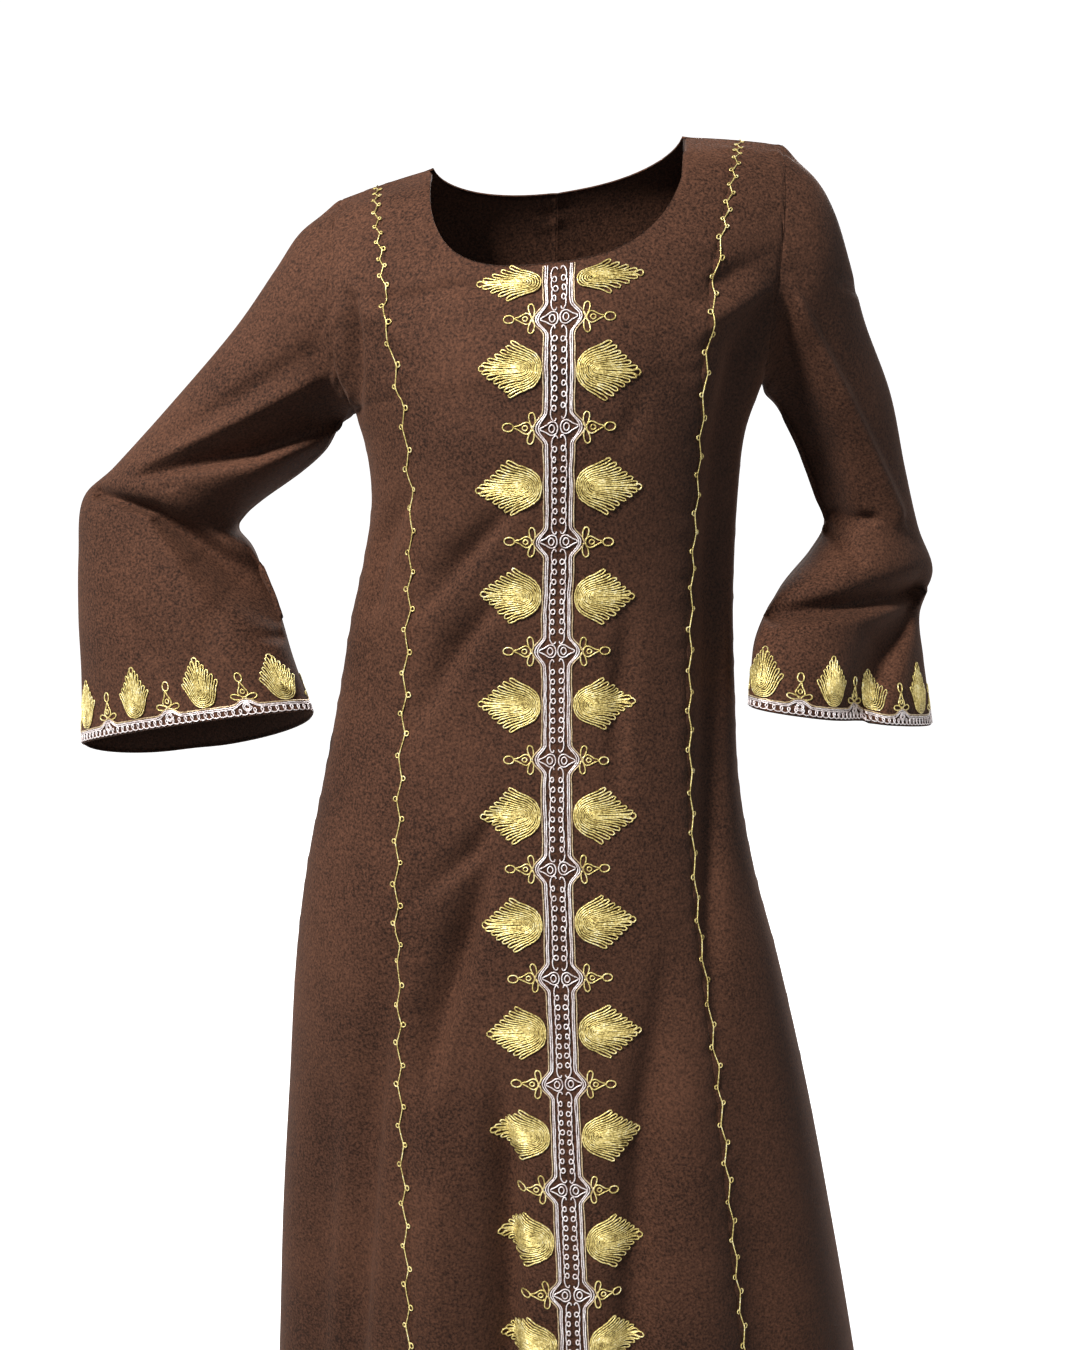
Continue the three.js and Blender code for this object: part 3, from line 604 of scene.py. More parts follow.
LEFT_RINGS = [
    [220, 2, -15, 182, 2, -190, 59, 0, 59, 0],
    [239, 6, -43, 186, 6, -198, 58, 0, 58, 0],
    [256, 16, -84, 198, 12, -209, 54, 2, 56, -2],
    [274, 30, -132, 216, 22, -237, 52, 2, 56, -4],
    [304, 48, -193, 228, 34, -259, 52, 0, 57, -4],
    [324, 64, -258, 241, 46, -286, 52, -2, 58, -4],
    [343, 80, -314, 252, 54, -311, 56, -4, 60, -2],
    [360, 84, -356, 236, 38, -336, 62, -4, 62, 0],
    [347, 76, -397, 202, 8, -369, 64, -2, 62, -4],
    [349, 64, -437, 178, -20, -407, 62, 0, 60, -6],
    [352, 54, -470, 170, -42, -437, 58, 2, 58, -8],
    [354, 44, -499, 166, -60, -466, 54, 2, 56, -8],
]
SLEEVE_FOLDS = {}
SLEEVE_FOLDS[-1] = [
    [(-175, -214, 21, 0.4, -24), (-263, -249, 16, 0.4, -23), (-363, -271, 6, 0.4, -5)],
    [(-197, -187, 7, 0.7, 3), (-271, -222, 7, 0.7, 5), (-358, -258, 5, 0.7, 2)],
    [(-202, -164, 10, 1, -2), (-269, -202, 10, 1, -6), (-336, -239, 9, 1, -2)],
    [
        (-230, -395, 16, 0.75, -30), (-252, -380, 21, 0.75, -37), (-283, -359, 21, 0.7, -37),
        (-314, -334, 16, 0.6, -30), (-352, -301, 8, 0.4, -18), (-409, -286, 8, 0.4, -15),
    ],
    [(-190, -236, 8, 0.6, -8), (-231, -268, 9, 0.6, -9), (-271, -297, 7, 0.6, -4)],
    [(-240, -412, 6, 0.6, -12), (-262, -408, 6, 0.6, -3)],
    [(-313, -340, 12, 1, -2), (-293, -374, 14, 1, -4), (-308, -426, 12, 1, -2)],
    [(-386, -375, 12, 1, -2), (-352, -418, 14, 1, -5), (-330, -452, 10, 1, -2)],
    [
        (184, -124, 12, 0.5, -8), (208, -195, 22, 0.45, -21), (236, -251, 26, 0.45, -26),
        (258, -300, 20, 0.45, -20), (262, -330, 12, 0.45, -6),
    ],
    [(192, -112, 8, 0.4, 6), (251, -204, 15, 0.4, 15), (312, -301, 13, 0.4, 10)],
    [(258, -302, 6, 0.7, -8), (270, -307, 8, 0.7, -12), (284, -306, 6, 0.7, -7)],
    [(248, -313, 4, 0.8, -11), (271, -345, 5, 0.8, -7)],
    [
        (333, -377, 17, 0.35, -28), (288, -382, 16, 0.35, -30), (258, -386, 14, 0.35, -25),
        (191, -394, 12, 0.35, -21),
    ],
    [(326, -396, 18, 0.5, -18), (296, -426, 28, 0.5, -28), (276, -469, 26, 0.5, -24)],
    [(259, -110, 7, 0.6, -8), (240, -106, 7, 0.6, -2)],
    [(-214, -246, 9, 1.4, 2), (-262, -268, 15, 1.8, 10), (-320, -278, 12, 1.4, 4)],
]
SLEEVE_FOLDS[1] = [
    [(-424, -270, 10, 0.5, -12), (-340, -316, 18, 0.5, -16), (-250, -362, 14, 0.5, -10)],
    [(-180, -200, 16, 0.6, -10), (-256, -246, 16, 0.6, -12), (-350, -280, 8, 0.6, -4)],
    [(-360, -360, 18, 1, 0), (-346, -560, 26, 1, 9)],
    [(352, -344, 10, 0.5, -12), (280, -366, 16, 0.5, -15), (196, -378, 10, 0.5, -8)],
    [(196, -130, 14, 0.6, -9), (262, -230, 16, 0.6, -10), (316, -310, 10, 0.6, -4)],
    [(296, -390, 16, 1, 0), (282, -520, 24, 1, 8)],
]
CALM_FOLD = 3.5
CALM_HEAD = 8


def armhole_level(turn):
    """The body's level at a turn round the armhole, which starts at the shoulder."""
    return SHOULDER - (SHOULDER - UNDERARM) * np.abs(1 - np.abs(2 * turn - 1))


def sleeve_point(side, turn, row):
    """A point of a sleeve: turn goes round it by the front, row from armhole 0 to cuff 1."""
    turn, row = np.broadcast_arrays(np.asarray(turn, float), np.asarray(row, float))
    turn = turn % 1
    face = np.where(turn < 0.5, -1, 1)
    cosine, sine = np.cos(2 * math.pi * turn), np.sin(2 * math.pi * turn)
    points = [body_point(face, side * math.pi / 2, armhole_level(turn))]
    for ring in RIGHT_RINGS if side < 0 else LEFT_RINGS:
        outer, inner = np.array(ring[:3]), np.array(ring[3:6])
        fore, fore_rise, aft, aft_rise = ring[6:]
        depth = np.where(sine[..., None] > 0, [0, -fore, fore_rise], [0, aft, aft_rise])
        half = (outer - inner) / 2
        points.append(inner + half + half * cosine[..., None] + depth * np.abs(sine)[..., None])
    stack = np.stack(points)
    last = len(points) - 1
    i = np.clip(np.ceil(row * last).astype(int) - 1, 0, last - 1)
    t = (row * last - i)[..., None]

    def pick(j):
        return np.take_along_axis(stack, np.clip(j, 0, last)[None, ..., None], 0)[0]

    def slope(j):
        span = np.clip(j + 1, 0, last) - np.clip(j - 1, 0, last)
        return (pick(j + 1) - pick(j - 1)) / span[..., None]

    p = ease(pick(i), pick(i + 1), slope(i), slope(i + 1), t)
    calm = np.minimum(1, CALM_FOLD * np.abs(sine)) * np.minimum(1, CALM_HEAD * row)
    p[..., 1] += face * calm * fold_height(SLEEVE_FOLDS, face, p[..., 0], p[..., 2])
    return p


TURN_STEP = 0.005
ROW_STEP = 0.005


def sleeve_normal(side, turn, row):
    turn, row = np.broadcast_arrays(np.asarray(turn, float), np.asarray(row, float))
    more, less = np.minimum(row + ROW_STEP, 1), np.maximum(row - ROW_STEP, 0)
    across = sleeve_point(side, turn + TURN_STEP, row) - sleeve_point(side, turn - TURN_STEP, row)
    up = sleeve_point(side, turn, more) - sleeve_point(side, turn, less)
    return unit(np.cross(across, up) * side)


def armhole_normal(side, turn):
    """Half-way between the body's cloth and the sleeve's, so that the two meet without a step."""
    face = np.where(turn < 0.5, -1, 1)
    body = body_normal(face, side * math.pi / 2, armhole_level(turn))
    return unit(body + sleeve_normal(side, turn, 0))


front_side_left = body_panel("front_side_left_panel", -1, spread(1, 2, 26))
finish_panel(front_side_left, "front_side_left")
front_side_right = body_panel("front_side_right_panel", -1, spread(-2, -1, 26))
finish_panel(front_side_right, "front_side_right")


# Back -----------------------------------------------------------------------------------------------
# The back is cut from the same crepe in two halves that meet in a seam down the middle, with a shallow
# neckline. The seams alone fit it to the waist, and below it hangs in broad soft flutes.

BODY_FOLDS[1] = [
    [(-150, -600, 30, 1, 0), (-165, -900, 44, 1, -14), (-190, -1400, 50, 1, -20)],
    [(-62, -540, 30, 1, 0), (-66, -860, 42, 1, 12), (-74, -1400, 48, 1, 18)],
    [(26, -560, 26, 1, 0), (34, -900, 34, 0.8, -15), (44, -1400, 40, 0.8, -20)],
    [(122, -580, 30, 1, 0), (138, -900, 40, 1, 13), (162, -1400, 48, 1, 18)],
    [(178, -700, 24, 1, 0), (204, -1000, 32, 1, -10), (242, -1400, 38, 1, -14)],
    [(-128, -330, 12, 0.8, -1), (-50, -384, 18, 0.7, -7), (14, -404, 14, 0.8, 0)],
    [(132, -318, 12, 0.8, -1), (66, -352, 16, 0.7, -6), (12, -362, 12, 0.8, 0)],
    [(-150, -170, 12, 0.8, -7), (-100, -236, 18, 0.8, -4), (-60, -300, 16, 0.8, 0)],
    [(158, -160, 12, 0.8, -8), (112, -222, 18, 0.8, -5), (66, -280, 16, 0.8, 0)],
]

half_back = [*spread(0, 1, 22, close_end=False), *spread(1, 2, 24, close_start=False)[1:]]
back_left = body_panel("back_left_panel", 1, half_back)
finish_panel(back_left, "back_left")
back_right = body_panel("back_right_panel", 1, [-c for c in half_back[::-1]])
finish_panel(back_right, "back_right")


# Sleeves --------------------------------------------------------------------------------------------
# A sleeve is one piece of the crepe with a seam under the arm. Its head is eased into the armhole, it
# widens below the elbow into a bell, and the cuff edge is turned in and left to hang open.

SLEEVE_ROWS = 150
SLEEVE_TURNS = 150
UNDERARM_TURN = 0.5
BESIDE_SEAM = (-0.006, -0.003, 0.003, 0.006)
BESIDE_HEAD = (0, 0.003, 0.006)
UNDERARM_DIP = SEAM_DIP * 0.8


def sleeve_panel(name, side):
    beside = {round(UNDERARM_TURN + step, 3) for step in BESIDE_SEAM}
    turns = sorted({*np.linspace(0, 1, SLEEVE_TURNS, endpoint=False), *beside})
    rows = np.array([*BESIDE_HEAD, *np.linspace(0, 1, SLEEVE_ROWS + 1)[1:]])
    row, turn = np.meshgrid(rows, turns, indexing="ij")
    points = sleeve_point(side, turn, row)
    normal = sleeve_normal(side, turn, row)
    normal[0] = armhole_normal(side, turn[0])
    down, _ = distance_from(points, 0)
    girth, _ = distance_from(points, 1)
    points = press(points, normal, down, girth)
    from_seam = np.abs(girth - girth[:, [turns.index(UNDERARM_TURN)]])
    points = points + normal * groove(from_seam, UNDERARM_DIP)[..., None]
    return shell(name, points, normal, True, ("top",))


sleeve_left = sleeve_panel("sleeve_left_panel", 1)
finish_panel(sleeve_left, "sleeve_left")
sleeve_right = sleeve_panel("sleeve_right_panel", -1)
finish_panel(sleeve_right, "sleeve_right")


# Front braid ----------------------------------------------------------------------------------------
# A band of silver cord loops between double silver and single rose gold edges runs down the middle of
# the front. It swells into a node every 90 mm, with a gold trefoil on each side, and between the nodes
# a gold leaf lies on each side. All of it is metal thread wound round cotton, laid and stitched down.

# The metal colours run from dark specks to near white: painted glints and painted shade between the
# turns of the thread, over each metal's own colour.
GOLD = [
    (0.32, (0.19, 0.13, 0.03)),
    (0.44, (0.53, 0.41, 0.13)),
    (0.55, (0.83, 0.69, 0.27)),
    (0.68, (1.0, 0.93, 0.62)),
]
SILVER = [(0.30, (0.30, 0.22, 0.21)), (0.46, (0.80, 0.69, 0.67)), (0.62, (1.0, 0.96, 0.96))]
ROSE_GOLD = [(0.30, (0.22, 0.14, 0.08)), (0.48, (0.50, 0.36, 0.20)), (0.70, (0.80, 0.66, 0.42))]
THREAD = 0.0017


def metal_cord(name, stops, metallic):
    made = Finish(name)
    where = made.node("ShaderNodeTexCoord", {}, output="Object")
    # The fine winding noise and a coarser noise paint glints and specks of shade into the cord's colour;
    # the winding noise also shapes the cord's bumps and roughness.
    winding = made.node("ShaderNodeTexNoise", {}, Vector=where, Scale=1 / THREAD, Detail=2.0)
    glint_patches = made.node("ShaderNodeTexNoise", {}, Vector=where, Scale=1 / (THREAD * 5), Detail=2.0)
    painted_glints = winding * 0.6 + glint_patches * 0.4
    made.coat(
        Base_Color=made.node("ShaderNodeValToRGB", {"stops": stops}, painted_glints),
        Roughness=0.25 + winding * 0.3,
        Metallic=metallic,
        Normal=made.node("ShaderNodeBump", {}, Strength=0.7, Distance=0.0006, Height=winding),
    )
    return made.material


gold_cord = metal_cord("gold_cord", GOLD, 0.55)
silver_cord = metal_cord("silver_cord", SILVER, 0.35)
rose_cord = metal_cord("rose_gold_cord", ROSE_GOLD, 0.45)

CORD_SIDES = 5
CORD_LUMPS = 420
CORD_THIN, CORD_THICK = 0.8, 1.2


def cord_tree():
    """Turns the edges of a mesh into round cords, a little thicker and thinner along their way."""
    group = bpy.data.node_groups.new("couched_cord", "GeometryNodeTree")
    sockets = {"Geometry": "Geometry", "Radius": "Float", "Sides": "Int", "Finish": "Material"}
    for name, kind in sockets.items():
        group.interface.new_socket(name, in_out="INPUT", socket_type=f"NodeSocket{kind}")
    group.interface.new_socket("Geometry", in_out="OUTPUT", socket_type="NodeSocketGeometry")
    nodes = Nodes(group)
    start, end = group.nodes.new("NodeGroupInput"), group.nodes.new("NodeGroupOutput")
    routes, radius, sides, finish = (Link(nodes, start.outputs[name]) for name in sockets)
    lumps = nodes.node("ShaderNodeTexNoise", {}, Scale=CORD_LUMPS)
    thick = nodes.node("ShaderNodeMapRange", {}, lumps, To_Min=CORD_THIN, To_Max=CORD_THICK)
    way = nodes.node("GeometryNodeMeshToCurve", {}, Mesh=routes)
    way = nodes.node("GeometryNodeSetCurveRadius", {}, Curve=way, Radius=thick)
    ring = nodes.node("GeometryNodeCurvePrimitiveCircle", {}, Radius=radius, Resolution=sides)
    sweep = "GeometryNodeCurveToMesh"
    cords = nodes.node(sweep, {}, Curve=way, Profile_Curve=ring, Fill_Caps=True)
    cords = nodes.node("GeometryNodeSetShadeSmooth", {}, Geometry=cords)
    cords = nodes.node("GeometryNodeRealizeInstances", {}, Geometry=cords)
    cords = nodes.node("GeometryNodeSetMaterial", {}, Geometry=cords, Material=finish)
    nodes.feed(end, Geometry=cords)
    return group


couched_cord = cord_tree()


def lay_cords(name, routes, radius, finish, node):
    """Makes one piece of all the routes, each a list of points and whether it closes on itself."""
    points, edges, start = [], [], 0
    for route, closed in routes:
        count = len(route)
        i = np.arange(count if closed else count - 1)
        edges.append(np.stack([start + i, start + (i + 1) % count], 1))
        points.append(route)
        start += count
    mesh = bpy.data.meshes.new(name)
    mesh.from_pydata((np.concatenate(points) * MM).tolist(), np.concatenate(edges).tolist(), [])
    made = bpy.data.objects.new(name, mesh)
    bpy.context.collection.objects.link(made)
    modifier = made.modifiers.new("cord", "NODES")
    modifier.node_group = couched_cord
    values = {"Radius": radius * MM, "Sides": CORD_SIDES, "Finish": finish}
    for socket in couched_cord.interface.items_tree:
        if socket.in_out == "INPUT" and socket.name in values:
            modifier[socket.identifier] = values[socket.name]
    graph = bpy.context.evaluated_depsgraph_get()
    made.data = bpy.data.meshes.new_from_object(made.evaluated_get(graph))
    made.modifiers.clear()
    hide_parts(node)
    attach(made, "root")


def lengths_along(points):
    steps = np.linalg.norm(np.diff(points, axis=0), axis=1)
    return np.concatenate([[0], np.cumsum(steps)])


CURVE_STEPS = 8


def resample(points, closed, step):
    """Points at even steps along a smooth curve through the given ones."""
    points = np.asarray(points, float)
    n = len(points)
    ends = n if closed else n - 1
    i = np.repeat(np.arange(ends), CURVE_STEPS)
    t = np.tile(np.arange(CURVE_STEPS) / CURVE_STEPS, ends)[:, None]
    near = [i + k for k in (-1, 0, 1, 2)]
    a, b, c, d = (points[k % n if closed else np.clip(k, 0, n - 1)] for k in near)
    fine = 2 * b + (c - a) * t + (2 * a - 5 * b + 4 * c - d) * t**2
    fine = 0.5 * (fine + (3 * b - a - 3 * c + d) * t**3)
    fine = np.concatenate([fine, points[:1] if closed else points[-1:]])
    run = lengths_along(fine)
    count = max(4, int(round(run[-1] / step)))
    at = np.linspace(0, run[-1], count + 1)[: count if closed else count + 1]
    return np.stack([np.interp(at, run, fine[:, k]) for k in range(fine.shape[1])], 1)


random = np.random.default_rng(7)
CORD = 0.66
TREFOIL_CORD = CORD * 0.9
LOOP_CORD = CORD * 0.85
EDGE_CORD = CORD * 0.9
TREFOIL_LIFT = 0.5
LOOP_LIFT = 0.6
EDGE_LIFT = 0.55
PITCH = 90
FIRST_LEAF = -119
FIRST_NODE = -148
LEAVES = -188
REPEATS = 14
BAND = 12.4
BULGE = 8.2
BULGE_HALF = 12.5
BRAID_TOP = -105.5
BRAID_FOOT = HEM + 4
BESIDE = 0.9
LEAN = 0.35

nodes_at = [FIRST_NODE, *[LEAVES - PITCH * (i + 0.5) for i in range(REPEATS - 1)]]
slope_levels = np.concatenate([BODY["level"], YOKE["level"][1:]])
slopes = np.concatenate([BODY["rise"], YOKE["rise"][1:]])


def on_front(flat, lift, lean=1):
    """Lays flat points (across, height) of the middle front on the cloth. lean is how far a row of
    motifs leans with the raised shoulder: 1 follows the cloth's own slope, and 0 lies level."""
    flat = np.asarray(flat, float)
    x, z = flat[:, 0], flat[:, 1]
    z = z - (1 - lean) * x * np.interp(z, slope_levels, slopes)
    angle, level = np.zeros(len(x)), np.zeros(len(x))
    for side in (-1, 1):
        here = x < 0 if side < 0 else x >= 0
        if here.any():
            level[here] = level_at(side, np.abs(x[here]), z[here])
            s = section(level[here])
            half = s[EDGE[side]] - s["middle"]
            angle[here] = side * np.arcsin(np.minimum(1, np.abs(x[here] / half)))
    return body_point(-1, angle, level) + body_normal(-1, angle, level) * np.reshape(lift, (-1, 1))


# A leaf is one cord laid in nested U shapes whose ends loop into teeth. The top pair is narrower and has
# fewer teeth, because the neckline leaves it less room.
LEAF_LENGTH = 51
LEAF_HALF = 21.5
LEAF_TEETH = 6
LEAF_HEART = 17
LEAF_TIP = 3
TOOTH = 3.4
LEAF_STEP = 1.9
LEAF_LIFT = 0.45
LEAF_PADDING = 1.1
SIDE_STEPS = 8
SHORT_LEAF_HALF = 13
SHORT_LEAF_TEETH = 4
SHORT_LEAF_TILT = 4


def leaf(length, half, teeth):
    """Routes of a leaf that lies along +x with its round base at 0: one for each pair of teeth."""
    gap = half / (2 * teeth + 0.7)
    routes = []
    for k in range(teeth):
        sides = []
        for r in (half - gap * (2 * k + 0.5), half - gap * (2 * k + 1.5)):
            share = r / half
            base = LEAF_HEART * (1 - share)
            end = length - LEAF_TIP - (length * 0.6 - LEAF_TIP) * share
            slope = math.radians(4 + 30 * share)
            run = 0.45 * (end - base)
            bend = [(base, 0), (base, 0.72 * r)]
            bend += [(end - run * math.cos(slope), r - run * math.sin(slope)), (end, r)]
            t = np.linspace(0, 1, SIDE_STEPS)[:, None]
            weights = np.hstack([(1 - t) ** 3, 3 * t * (1 - t) ** 2, 3 * t * t * (1 - t), t**3])
            sides.append(weights @ np.array(bend))
        outer, inner = sides
        middle = (outer[-1] + inner[-1]) / 2
        out = np.array([math.cos(slope), math.sin(slope)])
        wide = np.array([-out[1], out[0]])
        reach = TOOTH + random.uniform(-0.5, 0.9)
        tooth = [middle + out * u * reach + wide * v for u, v in ((0.3, 1.55), (1, 0.9), (1, -0.7))]
        tooth.append(middle + out * 0.2 * reach - wide * 1.3)
        half_way = np.array([*outer[:-1], *tooth, *inner[-2:0:-1]])
        other = (half_way + random.normal(0, 0.16, half_way.shape)) * [1, -1]
        routes.append(np.array([*half_way, inner[0], *other[:0:-1]]))
    tip = [(LEAF_HEART, 0), (LEAF_HEART + 3, 0.9), (length - 7, 0.8)]
    tip += [(length - 3.5, 2.2), (length - 0.8, 2.0)]
    routes.append(np.array([*tip, (length + 0.4, 0), *[(x, -y) for x, y in tip[:0:-1]]]))
    return [resample(r, True, LEAF_STEP) for r in routes]


def padding(points, length, half):
    """How high each cord lies: the leaf is a little padded, highest inside its round base."""
    far = np.hypot((points[:, 0] - half) / (length * 0.62), points[:, 1] / (half * 1.15))
    return LEAF_LIFT + LEAF_PADDING * np.clip(1 - far**2, 0, 1)


def turned(points, degrees):
    c, s = math.cos(math.radians(degrees)), math.sin(math.radians(degrees))
    return points @ np.array([[c, s], [-s, c]])


leaf_routes = []
for number, level in enumerate([FIRST_LEAF, *[LEAVES - PITCH * i for i in range(REPEATS)]]):
    short = number == 0
    for side in (-1, 1):
        length = LEAF_LENGTH * random.uniform(0.97, 1.05)
        half = (SHORT_LEAF_HALF if short else LEAF_HALF) * random.uniform(0.95, 1.05)
        tilt = random.uniform(-4, 4) + (SHORT_LEAF_TILT if short else 0)
        for route in leaf(length, half, SHORT_LEAF_TEETH if short else LEAF_TEETH):
            height = padding(route, length, half)
            flat = turned(route + random.normal(0, 0.12, route.shape), tilt)
            flat = flat * [side, 1] + [side * (BAND + BESIDE), level]
            leaf_routes.append((on_front(flat, height, 1 if short else LEAN), True))

# A trefoil is a teardrop with a small loop inside, a loop at its tip, and a loop to each side of its
# base. A node has an eye with a pupil, in silver, to each side of its middle.
MOTIF_STEP = 1.5


def mirrored(half):
    """A closed outline from its upper half, whose first and last points lie on the middle line."""
    return half + [(x, -y) for x, y in half[-2:0:-1]]


DROP = mirrored([(0, 0), (1.6, 3.4), (4.6, 4.3), (9.5, 1.7), (13.6, 0.4)])
SEED = [(3.0, 0), (4.4, 1.9), (6.8, 0.9), (6.8, -0.9), (4.4, -1.9)]
TIP = mirrored([(13.6, 0), (15.0, 2.4), (18.0, 3.0), (20.8, 2.0), (21.8, 0)])
EAR = [(-1.4, 1.2), (-2.2, 5.0), (-1.6, 9.4), (0.4, 11.6), (2.6, 10.0), (2.2, 6.0), (0.4, 2.0)]
EYE = mirrored([(1.2, 0), (2.6, 4.2), (6.4, 5.2), (10.6, 2.6), (15.4, 0)])
PUPIL = mirrored([(3.6, 0), (4.8, 2.6), (6.8, 2.8), (8.2, 0)])


def trefoil(size):
    outlines = [DROP, SEED, TIP, EAR, [(x, -y) for x, y in EAR]]
    return [resample(np.array(outline) * size, True, MOTIF_STEP) for outline in outlines]


trefoil_routes, silver_routes, rose_routes = [], [], []
for level in nodes_at:
    for side in (-1, 1):
        tilt = random.uniform(-4, 4)
        for route in trefoil(random.uniform(0.98, 1.06)):
            flat = turned(route, tilt) * [side, 1] + [side * (BAND + BULGE + BESIDE), level]
            trefoil_routes.append((on_front(flat, TREFOIL_LIFT, LEAN), True))
        shift = random.normal(0, 0.4, 2)
        for route in (EYE, PUPIL):
            ring = resample(np.array(route) + shift, True, MOTIF_STEP) * [side, 1] + [0, level]
            silver_routes.append((on_front(ring, LOOP_LIFT), True))

# The band's loops are one cord that curls over itself down each side, and rests at the nodes.
LOOP_PITCH = 8.1
LOOP_WIDE = 2.05
LOOP_TALL = 3.9
LOOP_OFF = 3.9
LOOP_STEPS = 16
NODE_REST = 7.5
END_REST = 3
stops = [BRAID_TOP, *nodes_at, BRAID_FOOT]
for upper, lower in zip(stops, stops[1:]):
    for side in (-1, 1):
        first = upper - (NODE_REST if upper in nodes_at else END_REST) - random.uniform(0, 1.5)
        last = lower + (NODE_REST if lower in nodes_at else END_REST) + random.uniform(0, 1.5)
        count = max(2, round((first - last) / LOOP_PITCH))
        phase = (np.arange(0, count * LOOP_STEPS + 1) / LOOP_STEPS - 0.5) * 2 * math.pi
        knots = np.arange(-1, count + 2)
        turn = phase / (2 * math.pi) + 0.5
        wide = np.interp(turn, knots, random.uniform(0.82, 1.18, count + 3)) * LOOP_WIDE
        sway = np.interp(turn, knots, random.normal(0, 0.35, count + 3))
        across = side * (LOOP_OFF + wide * np.cos(phase)) + sway
        down = first - (first - last) * turn / count - LOOP_TALL * np.sin(phase)
        silver_routes.append((on_front(np.stack([across, down], 1), LOOP_LIFT), False))

# The edge cords follow each other, with a slow wander that they share and a quick shake of their own.
SILVER_INSETS = (1.9, 3.4)
EDGE_STEP = 2
WANDERS = 90
SHAKES = 260


def band_edge(z, inset):
    at = [np.clip((z - n) / BULGE_HALF, -1, 1) for n in nodes_at]
    swell = sum(np.cos(a * math.pi / 2) ** 1.7 for a in at)
    return BAND - inset * (1 + 0.25 * swell) + BULGE * swell


def waver(size, count):
    """A random sway down the braid's edge."""
    return np.interp(run, np.linspace(BRAID_FOOT, BRAID_TOP, count), random.normal(0, size, count))


run = np.arange(BRAID_TOP, BRAID_FOOT, -float(EDGE_STEP))
for side in (-1, 1):
    wander = waver(0.3, WANDERS)
    for inset in (0, *SILVER_INSETS):
        shake = waver(0.16, SHAKES)
        line = np.stack([side * band_edge(run, inset) + wander + shake, run], 1)
        (silver_routes if inset else rose_routes).append((on_front(line, EDGE_LIFT), False))

third = len(leaf_routes) // 3
for i in range(3):
    some = leaf_routes[i * third : (i + 1) * third if i < 2 else None]
    lay_cords(f"front_leaves_{i + 1}", some, CORD, gold_cord, "front_braid")
lay_cords("front_trefoils", trefoil_routes, TREFOIL_CORD, gold_cord, "front_braid")
lay_cords("front_band_loops", silver_routes, LOOP_CORD, silver_cord, "front_braid")
lay_cords("front_band_edges", rose_routes, EDGE_CORD, rose_cord, "front_braid")


# Seam vines -----------------------------------------------------------------------------------------
# One thin gold cord is couched in waves down beside each front seam, on the side panel, with a small
# loop at each bend. The bends lie close together from the shoulder to the bust, and twice as far apart
# below it.

VINE_CORD = 0.55
VINE_LIFT = 0.5
VINE_OFF = 3.6
VINE_WAVE = 2.1
VINE_LENGTH = 1450
VINE_STEP = 1.2
CLOSE_BEND = 8.4
WIDE_BEND = 17
CLOSE_LOOP = 1.7
WIDE_LOOP = 1.95
CLOSE_RUN = 130
SEAM_STEPS = 1500
SEAM_ROUND = 95


def on_seam(side, flat, lift):
    """Lays flat points (away from the seam, distance down it) on the side panel beside a seam."""
    levels = np.linspace(SHOULDER, HEM, SEAM_STEPS)
    seam = body_point(-1, column_angle(side, 1, levels), levels)
    level = np.interp(flat[:, 1], lengths_along(seam), levels)
    s = section(level)
    half = s[EDGE[side]] - s["middle"]
    tilt = np.arcsin((s[SEAM[side]] - s["middle"]) / half)
    angle = side * (tilt + flat[:, 0] / np.hypot(half * np.cos(tilt), SEAM_ROUND))
    return body_point(-1, angle, level) + body_normal(-1, angle, level) * lift


def vine(length):
    """Points of a vine: away from its own middle line, and down it."""
    points, down, turn = [(0, 2)], 7.0, 1
    while down < length - 12:
        close = down < CLOSE_RUN
        step = (CLOSE_BEND if close else WIDE_BEND) * random.uniform(0.86, 1.14)
        loop = (CLOSE_LOOP if close else WIDE_LOOP) * random.uniform(0.85, 1.15)
        centre = turn * (VINE_WAVE + loop * 0.8)
        for a in np.linspace(-0.8, 1.8, 11) * math.pi:
            points.append((centre + turn * loop * math.sin(a), down - loop * math.cos(a)))
        points.append((turn * VINE_WAVE * 0.3, down + step * 0.42))
        down += step
        turn = -turn
    points.append((0, length - 4))
    return resample(points, False, VINE_STEP)


vine_routes = []
for side in (-1, 1):
    flat = vine(VINE_LENGTH)
    flat[:, 0] += VINE_OFF
    vine_routes.append((on_seam(side, flat, VINE_LIFT), False))
lay_cords("seam_vines", vine_routes, VINE_CORD, gold_cord, "front_braid")


# Cuff braids ----------------------------------------------------------------------------------------
# The cuff edge has a row of small silver loops hanging from a silver and a rose gold line. The lines
# hump over a coiled silver rosette with a gold trefoil above it, and gold leaves stand up in between.

CUFF_REPEATS = 8
CUFF_START = {"left": 0.80, "right": 0.55}
CUFF_LINES = (7.0, 8.5, 10.0)
CUFF_LEAF = 45
CUFF_LEAF_HALF = 16.5
CUFF_LEAF_TEETH = 5
CUFF_LEAF_FOOT = 11
CUFF_LEAF_CORD = CORD * 0.95
TREFOIL_FOOT = 16.5
ROSETTE = 8.2
COIL_TURNS = 2
COIL_STEPS = 34
COIL_FROM, COIL_TO = 1.3, 4.2
COIL_LIFT = 0.7
CUFF_LOOP = 6.3
CUFF_LOOP_STEPS = 10
CUFF_LOOP_WIDE = 2.5
CUFF_LOOP_TALL = 2.7
CUFF_LOOP_HEIGHT = 3.7
HUMP = 5.0
HUMP_HALF = 8
CUFF_STEPS = 720
CUFF_REACH = 0.1


def cuff_edge(side):
    """Turns round a cuff's edge, and how far round each of them lies."""
    turns = np.linspace(0, 1, CUFF_STEPS + 1)
    return turns, lengths_along(sleeve_point(side, turns, 1))


